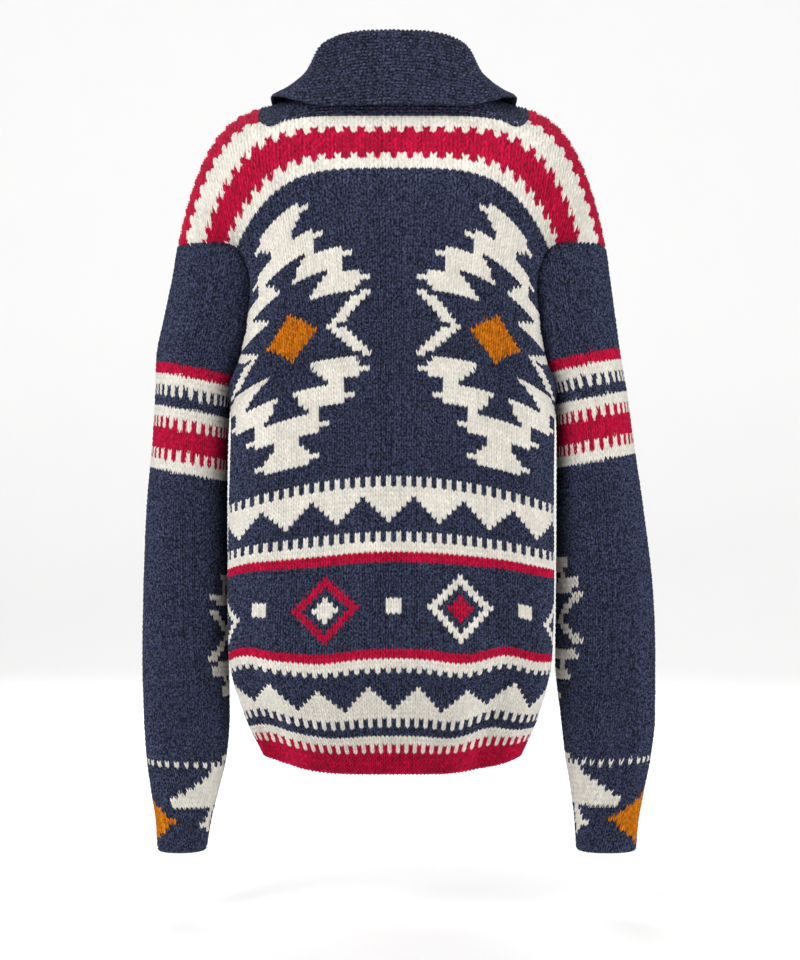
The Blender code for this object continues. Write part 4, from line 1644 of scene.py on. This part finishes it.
@dataclass
class Front(PanelKnit):
    """One front, from the shoulder seam over the ridge to the hem."""

    side: Side = Side.LEFT
    columns: int = 31
    neck_gap: float = 0.35
    flat: tuple = (0.21, 0.72)
    area: float = 0.12

    @property
    def panel(self) -> Panel:
        """Surface of this front."""
        return PANELS[(True, self.side)]

    def ordered(self, grid: Array) -> Array:
        """Grid of this front with its columns in the order that faces outwards."""
        return facing_out(self.side, grid)

    def yarn(self, row: int, stitch: int) -> Yarn:
        """Yarn of one stitch.

        Args:
            row: knitted row; the yoke begins at the shoulder seam, the rest is level
                with the back.
            stitch: stitches from the middle.

        Returns:
            The yarn there.
        """
        level = row - SHOULDER_ROW_FRONT if row < 0 else max(row, self.chart.band_rows)
        return self.chart.yarn(level, -int(self.side) * stitch)

    def knit(self) -> Stitches:
        """All stitches of this front.

        Returns:
            The stitches of the yoke, then those of the body.
        """
        found = []
        columns = np.arange(0, self.widest + 1)
        stitches = np.maximum(np.arange(-1, 2 * self.widest + 2) / 2, 0)
        for first, last, yoke in self.zones(SHOULDER_ROW_FRONT):
            lines = np.arange(2 * first, 2 * last + 1) / 2
            shares = self.shares(self.panel, lines, stitches, yoke)
            points = self.ordered(self.panel.grid(lines, shares))
            rows = range(first, last)
            yarn = np.array([[self.yarn(r, s) for s in columns] for r in rows])
            edges = np.array([self.panel.neck_share(r + 0.5) for r in rows])
            units = np.array([self.unit_share(self.panel, r + 0.5, yoke) for r in rows])
            keep = (columns[None] - self.neck_gap) * units[:, None] >= edges[:, None]
            found.append(self.read_lattice(points, self.ordered(yarn), self.ordered(keep)))
        return Stitches.join(found)

    def shell(self) -> Shell:
        """Thin cloth of this front.

        Returns:
            The cloth.
        """
        rows = np.arange(SHOULDER_ROW_FRONT, HEM_ROW + 1)
        edges = np.array([self.panel.neck_share(float(r)) for r in rows])[:, None]
        shares = edges + (1 - edges) * np.linspace(0, 1, self.columns + 1)[None]
        points = self.panel.grid(rows, shares)
        out = grid_normals(self.ordered(points))
        end, inward = (-1, -1) if self.side is Side.LEFT else (0, 1)
        blend_rim(out, self.seam_out(self.panel, rows, out[:, end]), end, inward)
        yarn = np.zeros((len(rows) - 1, self.columns), dtype=int)
        for i, row in enumerate(rows[:-1]):
            yoke = row < self.chart.yoke_rows + SHOULDER_ROW_FRONT
            step = self.unit_share(self.panel, row + 0.5, yoke)
            for j, share in enumerate((shares[i, 1:] + shares[i, :-1]) / 2):
                yarn[i, j] = self.yarn(int(row), round(share / step))
        places = shares * self.chart.body_stitches
        uv = np.stack((places, np.broadcast_to(rows[:, None], shares.shape)), axis=-1)
        return Shell(self.ordered(points), out, self.ordered(yarn), self.ordered(uv))

    def hem(self) -> Stitches:
        """Cast-off edge.

        Returns:
            Its chain of stitches.
        """
        per_half = self.chart.body_stitches
        first = math.ceil(2 * per_half * self.panel.neck_share(HEM_ROW)) + 1
        shares = np.arange(first, 2 * per_half + 1) / 2 / per_half
        return edge_chain(self.ordered(self.panel.grid(HEM_ROWS, shares)), Yarn.CRIMSON)

    def build(self, wardrobe: Wardrobe) -> list[bpy.types.Object]:
        """Make this front's cloth and stitches."""
        seeds = (20 + int(self.side), 24 + int(self.side))
        return knit_piece("front_" + self.side.word, self, self.hem(), seeds, wardrobe)


@dataclass
class Sleeve:
    """One sleeve, knitted from the shoulder down, its rows hanging lower on the inner side."""

    side: Side
    chart: SleeveChart
    row_pitch: float = 0.00546
    stitch_pitch: float = 0.0052
    tilt: float = 0.185
    level_above: float = -0.42
    outer_angle: float = -8.0
    samples: int = 480
    spare_rows: int = 3
    seam_gap: float = 0.25
    armhole_gap: float = 0.30
    rings: int = 104
    columns: int = 96
    cuff_stitches: int = 46
    cuff_lifts: tuple = (0.004, 0.002, 0.0)
    flat: tuple = (0.36, 0.64)
    area: float = 0.17
    arm: Arm = field(init=False)

    def __post_init__(self) -> None:
        """Take the arm of this side."""
        self.arm = Arm(self.side)

    @staticmethod
    def turns(steps: int) -> Array:
        """Even angles once round the arm, from the underarm line back to it."""
        return np.linspace(UNDERARM_ANGLE - 360.0, UNDERARM_ANGLE, steps + 1)

    def ordered(self, grid: Array) -> Array:
        """Grid of this sleeve with its columns in the order that faces outwards."""
        return facing_out(self.side, grid)

    def slope(self, heights: Array) -> Array:
        """Tilt of the rows at some heights."""
        return self.tilt * ramp(heights, CUFF_HEIGHT, self.level_above)

    def middle(self, heights: Array) -> Array:
        """Distance of the arm's own middle line from the garment's."""
        return (self.arm.column("outer", heights) + self.arm.column("inner", heights)) / 2

    def row_lines(self, rows: Array, angles: Array) -> Array:
        """Tilted rings.

        Args:
            rows: rows below the first band.
            angles: angles round the arm.

        Returns:
            A grid of points, rows first.
        """
        level = (self.chart.start - rows * self.row_pitch)[:, None]
        level = np.maximum(level, CUFF_HEIGHT)
        x = self.arm.points(level, angles[None])[..., 0] * int(self.side)
        heights = level + self.slope(level) * (x - self.middle(level))
        return self.arm.points(np.maximum(heights, CUFF_HEIGHT), angles[None])

    def distances(self, points: Array, angles: Array) -> Array:
        """Distance along each ring from the outer line.

        Args:
            points: rings of points, one ring a row.
            angles: angle round the arm of each column.

        Returns:
            One distance for each point, positive to the back.
        """
        along = lengths_along(points, axis=1)
        zero = np.array([np.interp(self.outer_angle, angles, line) for line in along])
        return along - zero[:, None]

    def knit(self) -> Stitches:
        """All stitches of this sleeve.

        Returns:
            The stitches between the armhole and the cuff.
        """
        start, pitch = self.chart.start, self.stitch_pitch
        first = -math.ceil((ARMHOLE_TOP - start) / self.row_pitch) - self.spare_rows
        last = int((start - CUFF_HEIGHT) / self.row_pitch)
        angles = self.turns(self.samples)
        lines = self.row_lines(np.arange(2 * first, 2 * last + 1) / 2, angles)
        along = self.distances(lines, angles)
        reach = int(np.max(np.abs(along)) / pitch) + 1
        columns = np.arange(-reach, reach + 1)
        targets = np.arange(-2 * reach - 1, 2 * reach + 2) / 2 * pitch
        points = np.array([read_line(targets, a, line) for a, line in zip(along, lines)])
        angle = np.array([np.interp(targets, a, angles) for a in along])[1::2, 1::2]
        low, high = along[1::2, :1], along[1::2, -1:]
        width, gap = columns[None] * pitch, self.seam_gap * pitch
        keep = (width > low + gap) & (width < high - gap)
        limit = armhole_height(angle) - self.armhole_gap * self.row_pitch
        keep &= points[1::2, 1::2, 2] < limit
        half_round = high[:, 0] / pitch
        yarn = np.array([[self.chart.yarn(r, s, h) for s in columns]
                         for r, h in zip(range(first, last), half_round)])
        return PanelKnit.read_lattice(
            self.ordered(points), self.ordered(yarn), self.ordered(keep))

    def shell(self) -> Shell:
        """Thin cloth of this sleeve.

        Returns:
            The closed tube.
        """
        angles = self.turns(self.columns)
        top = armhole_height(angles)
        part = np.linspace(0, 1, self.rings + 1)[:, None]
        heights = top[None] + (CUFF_HEIGHT - top[None]) * part
        points = self.arm.points(heights, angles[None])
        out_of_line = points[..., 0] * int(self.side) - self.middle(heights)
        row = (self.chart.start - heights + self.slope(heights) * out_of_line) / self.row_pitch
        stitch = self.distances(points, angles) / self.stitch_pitch
        cell_row = np.floor((row[1:, 1:] + row[:-1, :-1]) / 2).astype(int)
        cell_stitch = np.round((stitch[1:, 1:] + stitch[:-1, :-1]) / 2).astype(int)
        yarn = np.array([[self.chart.yarn(int(r), int(s), float(stitch[i, -1]))
                          for r, s in zip(cell_row[i], cell_stitch[i])]
                         for i in range(self.rings)])
        ring = self.ordered(points)[:, :-1]
        out = grid_normals(ring, closed=True)
        ring_angles = angles if self.side is Side.LEFT else angles[::-1]
        rim = ARMHOLES[self.side].sleeve_out(ring_angles[:-1])
        blend_rim(out.transpose(1, 0, 2), rim, 0, 1)
        uv = np.stack((stitch, row), axis=-1)
        return Shell(ring, out, self.ordered(yarn), self.ordered(uv), closed=True)

    def cuff(self) -> Stitches:
        """Rolled edge of the cuff.

        Returns:
            Its chain of stitches.
        """
        angles = self.turns(2 * self.cuff_stitches)
        points = np.array([self.arm.points(np.full(len(angles), CUFF_HEIGHT + lift), angles)
                           for lift in self.cuff_lifts])
        return edge_chain(self.ordered(points), Yarn.NAVY)

    def build(self, wardrobe: Wardrobe) -> list[bpy.types.Object]:
        """Make this sleeve's cloth and stitches."""
        seeds = (30 + int(self.side), 34 + int(self.side))
        return knit_piece("sleeve_" + self.side.word, self, self.cuff(), seeds, wardrobe)


@dataclass
class Collar:
    """Shawl collar and front bands as one strip: stand, roll and fall."""

    fold_radius: float = 0.007
    break_row: float = 40
    unroll_rows: float = 31
    parts: tuple = (6, 5, 4)
    bump_across: float = 0.0044
    bump_down: float = 0.0034
    bump_lift: float = 0.0007
    edge_gap: float = 0.3
    down_step: float = 0.001
    section_samples: int = 60
    columns: int = 339
    finer_along: int = 8
    finer_across: int = 4
    ground_depth: float = 0.0008
    ground_back: float = 0.0022
    shortest_run: int = 6
    flat: tuple = (0.20, 1.62)
    area: float = 0.16

    def profile(
        self, stand: float, fall: float, rise: float, turn: float, flare: float, bow: float,
        rolled: float
    ) -> tuple[Array, Array, Array]:
        """Middle line of the strip's section.

        Args:
            stand: width below the roll.
            fall: width beyond it.
            rise: how far the stand turns out at its foot, in degrees.
            turn: how far the roll turns, in degrees.
            flare: how far the fall turns back, in degrees.
            bow: how far the stand bends inwards, in degrees.
            rolled: 1 where the strip is rolled, 0 where it lies flat.

        Returns:
            Distance along the stand's way, distance out of it, and angle, point by point.
        """
        turn = (turn + flare / 2) * rolled
        arc = self.fold_radius * math.radians(turn)
        total = stand + arc + fall
        steps = np.linspace(0.0, total, self.section_samples)
        bowed = bow * rolled * (2 * np.clip(steps / stand, 0.0, 1.0) - 1)
        angles = rise + bowed + turn * np.clip((steps - stand) / max(arc, 1e-9), 0.0, 1.0)
        angles = angles - flare * np.clip((steps - stand - arc) / max(fall, 1e-9), 0.0, 1.0)
        turned = np.radians((angles[:-1] + angles[1:]) / 2)
        length = np.diff(steps)
        along = np.concatenate(([0.0], np.cumsum(np.cos(turned) * length)))
        out = np.concatenate(([0.0], np.cumsum(np.sin(turned) * length)))
        standing, rolling, falling = self.parts
        places = np.concatenate((
            np.linspace(0.0, stand, standing),
            np.linspace(stand, stand + arc, rolling + 1)[1:],
            np.linspace(stand + arc, total, falling + 1)[1:]))
        places = places * rolled + np.linspace(0.0, total, len(places)) * (1 - rolled)
        angle = np.radians(np.interp(places, steps, angles))
        return np.interp(places, steps, along), np.interp(places, steps, out), angle

    def station(
        self, panel: Panel, row: float, base: Array, own_out: Array, edge: Array, key: float
    ) -> list:
        """One place along the neck.

        Args:
            panel: the panel that carries the collar there.
            row: its row.
            base: point on the seam.
            own_out: outward direction of the panel.
            edge: direction along the seam.
            key: place in the neck tables.

        Returns:
            The seam point, the stand's way, the outward way, the section's sizes, and how
            far the stand follows the line of the roll.
        """
        own_away = unit(np.cross(edge, own_out) * int(panel.side))
        led = float(smooth(NECK_EDGE, "row", "led", key))
        way = np.array([float(smooth(NECK_ROLL, "row", c, key)) for c in ("x", "y", "z")])
        way[0] *= int(panel.side)
        way = way - base
        away = unit(own_away * (1 - led) + unit(way) * led)
        out = unit(own_out - away * np.dot(own_out, away))
        names = ("stand", "fall", "rise", "turn", "flare", "bow")
        sizes = [float(smooth(NECK_EDGE, "row", c, key)) for c in names]
        sizes[0] = sizes[0] * (1 - led) + float(np.linalg.norm(way)) * led
        rolled = 1 - float(ramp(row, self.break_row, self.break_row + self.unroll_rows))
        return [base, away, out, sizes + [rolled], led]

    def stations(self) -> list:
        """Places along the neck, from the right hem round to the left hem.

        Returns:
            The seam point, the stand's way, the outward way and the section's sizes of each.
        """
        half = {}
        for side in Side:
            found = []
            back, front = PANELS[(False, side)], PANELS[(True, side)]
            for i in range(NECK_COLUMNS):
                share = NECK_SHARE * i / NECK_COLUMNS
                base, out = back.at(0, share), back.normal(0, share)
                edge = back.at(0, share + SEAM_SHARE) - back.at(0, max(share - SEAM_SHARE, 0.0))
                part = i / NECK_COLUMNS
                key = BACK_NECK_ROW * (1 - part) + SHOULDER_ROW_FRONT * part
                found.append(self.station(back, SHOULDER_ROW_BACK, base, out, edge, key))
            for row in ROWS_FRONT:
                share = front.neck_share(row)
                base, out = front.at(row, share), front.normal(row, share)
                if row == SHOULDER_ROW_FRONT:
                    out = unit(out + back.normal(0, share))
                high, low = max(row - 1, SHOULDER_ROW_FRONT), min(row + 1, HEM_ROW)
                edge = front.at(low, front.neck_share(low)) - front.at(high, front.neck_share(high))
                found.append(self.station(front, row, base, out, edge, row))
            half[side] = found
        line = list(reversed(half[Side.RIGHT][1:])) + half[Side.LEFT]
        for index in (1, 2, 2, 2):
            kept = [station[index] for station in line]
            for i in range(1, len(line) - 1):
                line[i][index] = unit(kept[i - 1] + 2 * kept[i] + kept[i + 1])
        tips = [station[0] + station[1] * station[3][0] for station in line]
        for i in range(1, len(line) - 1):
            away, out, led = line[i][1], line[i][2], line[i][4]
            across = unit(np.cross(tips[i + 1] - tips[i - 1], away))
            across = math.copysign(1.0, np.dot(across, out)) * across
            line[i][2] = unit(out * (1 - led) + across * led)
        for station in line:
            station[2] = unit(station[2] - station[1] * np.dot(station[1], station[2]))
        return [station[:4] for station in line]

    def surface(self) -> tuple[Array, Array]:
        """Middle surface of the strip, finely sampled.

        Returns:
            Its points and its directions, the first axis along the strip.
        """
        middle, facing = [], []
        for base, away, out, sizes in self.stations():
            along, rise, angle = self.profile(*sizes)
            rise = rise - WALL / 2
            middle.append(base + away * along[:, None] + out * rise[:, None])
            facing.append(out * np.cos(angle)[:, None] - away * np.sin(angle)[:, None])
        grids = []
        for grid in (middle, facing):
            grid = upsample(np.array(grid), self.finer_along).transpose(1, 0, 2)
            grids.append(upsample(grid, self.finer_across).transpose(1, 0, 2))
        return grids[0], unit(grids[1])

    def shell(self, points: Array, ways: Array) -> Shell:
        """Thin cloth of the strip, rows along it.

        Args:
            points: middle surface.
            ways: its directions.

        Returns:
            The cloth, facing outwards.
        """
        along, count = lengths_along(points[:, 0]), self.columns + 1
        marks = np.interp(np.linspace(0, along[-1], count), along, np.arange(len(along)))
        low = np.minimum(marks.astype(int), len(along) - 2)
        part = (marks - low)[:, None, None]
        grid = points[low] * (1 - part) + points[low + 1] * part
        out = unit(ways[low] * (1 - part) + ways[low + 1] * part)
        width = lengths_along(grid, axis=1)
        step = along[-1] / self.columns
        lines = np.broadcast_to(np.arange(count)[:, None] * step / self.bump_across, width.shape)
        uv = np.stack((lines, width / self.bump_down), axis=-1)
        yarn = np.zeros((self.columns, grid.shape[1] - 1), dtype=int)
        facing = np.cross(np.gradient(grid, axis=0), np.gradient(grid, axis=1))
        if np.median(np.sum(facing * out, axis=-1)) < 0:
            grid, out, uv = grid[:, ::-1], out[:, ::-1], uv[:, ::-1]
        return Shell(grid + out * (WALL / 2), out, yarn, uv,
                     outer_depth=self.ground_depth, inner_depth=self.ground_back)

    def bumps(self, points: Array, ways: Array, face: int) -> Stitches:
        """Raised purl bumps on one face of the strip.

        Args:
            points: middle surface.
            ways: its directions.
            face: 1 for the face along the directions, -1 for the other.

        Returns:
            The bumps, row by row across the strip.
        """
        width = lengths_along(points, axis=1)
        count = int(width[:, -1].max() / self.bump_down)
        found = []
        for row in range(count):
            level = (row + 0.5) * self.bump_down
            there = np.flatnonzero(width[:, -1] > level + self.edge_gap * self.bump_down)
            for run in np.split(there, np.flatnonzero(np.diff(there) > 1) + 1):
                if len(run) >= self.shortest_run:
                    found.append(
                        self.bump_row(points[run], ways[run], width[run], level, row, face))
        return Stitches.join([f for f in found if f is not None])

    def bump_row(
        self, points: Array, ways: Array, width: Array, level: float, row: int, face: int
    ) -> Stitches | None:
        """Bumps of one row, at even steps along it.

        Args:
            points: middle surface where the row runs.
            ways: its directions.
            width: distance of each point from the seam.
            level: distance of the row from the seam.
            row: number of the row, which shifts every other one by half a bump.
            face: 1 for the face along the directions, -1 for the other.

        Returns:
            The bumps, or nothing where the row is too short for one.
        """

        def read(grid: Array, at: float) -> Array:
            """Line on the surface at one distance from the seam."""
            return np.array([read_line(at, w, g) for w, g in zip(width, grid)])

        line, out = read(points, level), unit(read(ways, level))
        down = read(points, level + self.down_step) - read(points, level - self.down_step)
        steps = lengths_along(line)
        start = (0.25 + 0.5 * (row % 2)) * self.bump_across
        marks = np.arange(start, steps[-1], self.bump_across)
        if not len(marks):
            return None
        along = read_line(marks, steps, np.gradient(line, axis=0))
        origin, out, down = (read_line(marks, steps, values) for values in (line, out, down))
        out, down, along = unit(out) * face, unit(down) * self.bump_down, unit(along)
        along = along * self.bump_across
        turned = np.sum(np.cross(down, along) * out, axis=1, keepdims=True)
        along = np.where(turned < 0, -along, along)
        origin = origin + out * self.bump_lift
        return Stitches(origin, along, down, out, np.zeros(len(origin), dtype=int))

    def build(self, wardrobe: Wardrobe) -> list[bpy.types.Object]:
        """Make the collar's cloth and bumps.

        Args:
            wardrobe: the finishes.

        Returns:
            The cloth's object, then the bumps of the outer and of the inner face.
        """
        points, ways = self.surface()
        cloth = MeshParts()
        self.shell(points, ways).add_to(cloth)
        made = [cloth.build("collar_shell", wardrobe.collar_ground, CREASE_ANGLE)]
        for face, name in ((1, "collar_bumps_outer"), (-1, "collar_bumps_inner")):
            yarn = MeshParts()
            knitter = Knitter((PURL,), seed=40 + face, turn=0.12, shift=0.06)
            knitter.knit(self.bumps(points, ways, face), yarn)
            made.append(yarn.build(name, wardrobe.collar_stitch))
        dress("collar", made[0], made[1:], self.flat, self.area)
        return made


# Studio.


@dataclass
class Studio:
    """Pale floor and backdrop, soft light, and the camera behind the garment."""

    floor: float = -0.83
    bend: float = 0.9
    wall_y: float = -4.2
    front_edge: float = 4.5
    half_width: float = 6.0
    height: float = 5.0
    bend_steps: int = 16
    brightness: float = 0.75
    lit: tuple = (0.0, 0.0, -0.35)
    camera_at: tuple = (-0.0063, 2.6, -0.371)
    lens: float = 92.9

    def backdrop(self) -> bpy.types.Object:
        """Floor that curves up into a backdrop.

        Returns:
            The backdrop.
        """
        profile = [(self.front_edge, 0.0), (self.wall_y + self.bend, 0.0)]
        for i in range(1, self.bend_steps + 1):
            turn = math.pi / 2 * i / self.bend_steps
            y, z = self.bend * (1 - math.sin(turn)), self.bend * (1 - math.cos(turn))
            profile.append((self.wall_y + y, z))
        profile.append((self.wall_y, self.height))
        wide = self.half_width
        vertices = [(x, y, self.floor + z) for y, z in profile for x in (-wide, wide)]
        faces = [(2 * i + 1, 2 * i, 2 * i + 2, 2 * i + 3) for i in range(len(profile) - 1)]
        mesh = bpy.data.meshes.new("backdrop")
        mesh.from_pydata(vertices, [], faces)
        mesh.polygons.foreach_set("use_smooth", [True] * len(faces))
        made = bpy.data.objects.new("backdrop", mesh)
        bpy.context.scene.collection.objects.link(made)
        paper = bpy.data.materials.new("pale_paper")
        paper.use_nodes = True
        nodes = NodeTree(paper.node_tree)
        shader = paper.node_tree.nodes["Principled BSDF"]
        place = nodes.add("ShaderNodeTexCoord").outputs["Object"]
        grain = nodes.add("ShaderNodeTexNoise", {"Vector": place, "Scale": 6.0, "Detail": 4.0})
        ramp_node = nodes.add("ShaderNodeValToRGB", {"Fac": grain.outputs["Fac"]})
        ramp_node.color_ramp.elements[0].color = (0.95, 0.95, 0.95, 1.0)
        ramp_node.color_ramp.elements[1].color = (0.97, 0.97, 0.965, 1.0)
        paper.node_tree.links.new(ramp_node.outputs["Color"], shader.inputs["Base Color"])
        shader.inputs["Roughness"].default_value = 0.9
        mesh.materials.append(paper)
        return made

    def light(self, name: str, place: tuple, size: float, watts: float) -> None:
        """Soft square lamp that points at the garment.

        Args:
            name: name of the lamp.
            place: where it hangs.
            size: length of its side.
            watts: its power.
        """
        data = bpy.data.lights.new(name, "AREA")
        data.shape = "SQUARE"
        data.size = size
        data.energy = watts
        lamp = bpy.data.objects.new(name, data)
        lamp.location = place
        away = Vector(place) - Vector(self.lit)
        lamp.rotation_euler = away.to_track_quat("Z", "Y").to_euler()
        bpy.context.scene.collection.objects.link(lamp)

    def world(self) -> None:
        """Even pale light from all round."""
        world = bpy.data.worlds.new("studio")
        world.use_nodes = True
        background = world.node_tree.nodes["Background"]
        background.inputs["Color"].default_value = (1.0, 1.0, 1.0, 1.0)
        background.inputs["Strength"].default_value = self.brightness
        bpy.context.scene.world = world

    def camera(self) -> None:
        """Camera level with the middle of the garment, straight behind it."""
        data = bpy.data.cameras.new("camera")
        data.lens = self.lens
        data.sensor_width = 36.0
        data.sensor_fit = "AUTO"
        made = bpy.data.objects.new("camera", data)
        made.location = self.camera_at
        made.rotation_euler = (math.pi / 2, 0.0, math.pi)
        bpy.context.scene.collection.objects.link(made)
        bpy.context.scene.camera = made

    def build(self) -> None:
        """Set up floor, lights and camera."""
        self.backdrop()
        self.world()
        self.light("key", (1.6, 2.6, 1.5), 1.6, 60.0)
        self.light("fill", (-2.2, 2.2, 0.4), 2.0, 32.0)
        self.light("front", (0.4, -2.0, 1.4), 1.8, 34.0)
        self.camera()
        bpy.context.scene.view_settings.view_transform = "Standard"


SLEEVE_CHARTS = {
    Side.LEFT: SleeveChart(-0.2553, 49.3, 8.5, 75, 82, 87, 86),
    Side.RIGHT: SleeveChart(-0.2412, 48.6, 6.6, 77, 84, 89, 88, cuff_shift=6, diamond_shift=4),
}


def main() -> None:
    """Build every piece and the studio."""
    logging.basicConfig(level=logging.INFO, format="%(message)s")
    for chosen in list(bpy.context.selected_objects):
        chosen.select_set(False)
    wardrobe = Wardrobe().fill()
    pieces = [Back(), Front(side=Side.LEFT), Front(side=Side.RIGHT)]
    pieces += [Sleeve(side, SLEEVE_CHARTS[side]) for side in Side]
    pieces.append(Collar())
    for piece in pieces:
        made = piece.build(wardrobe)
        log.info("%s built as %s", type(piece).__name__, ", ".join(o.name for o in made))
    Studio().build()


if __name__ == "__main__":
    main()
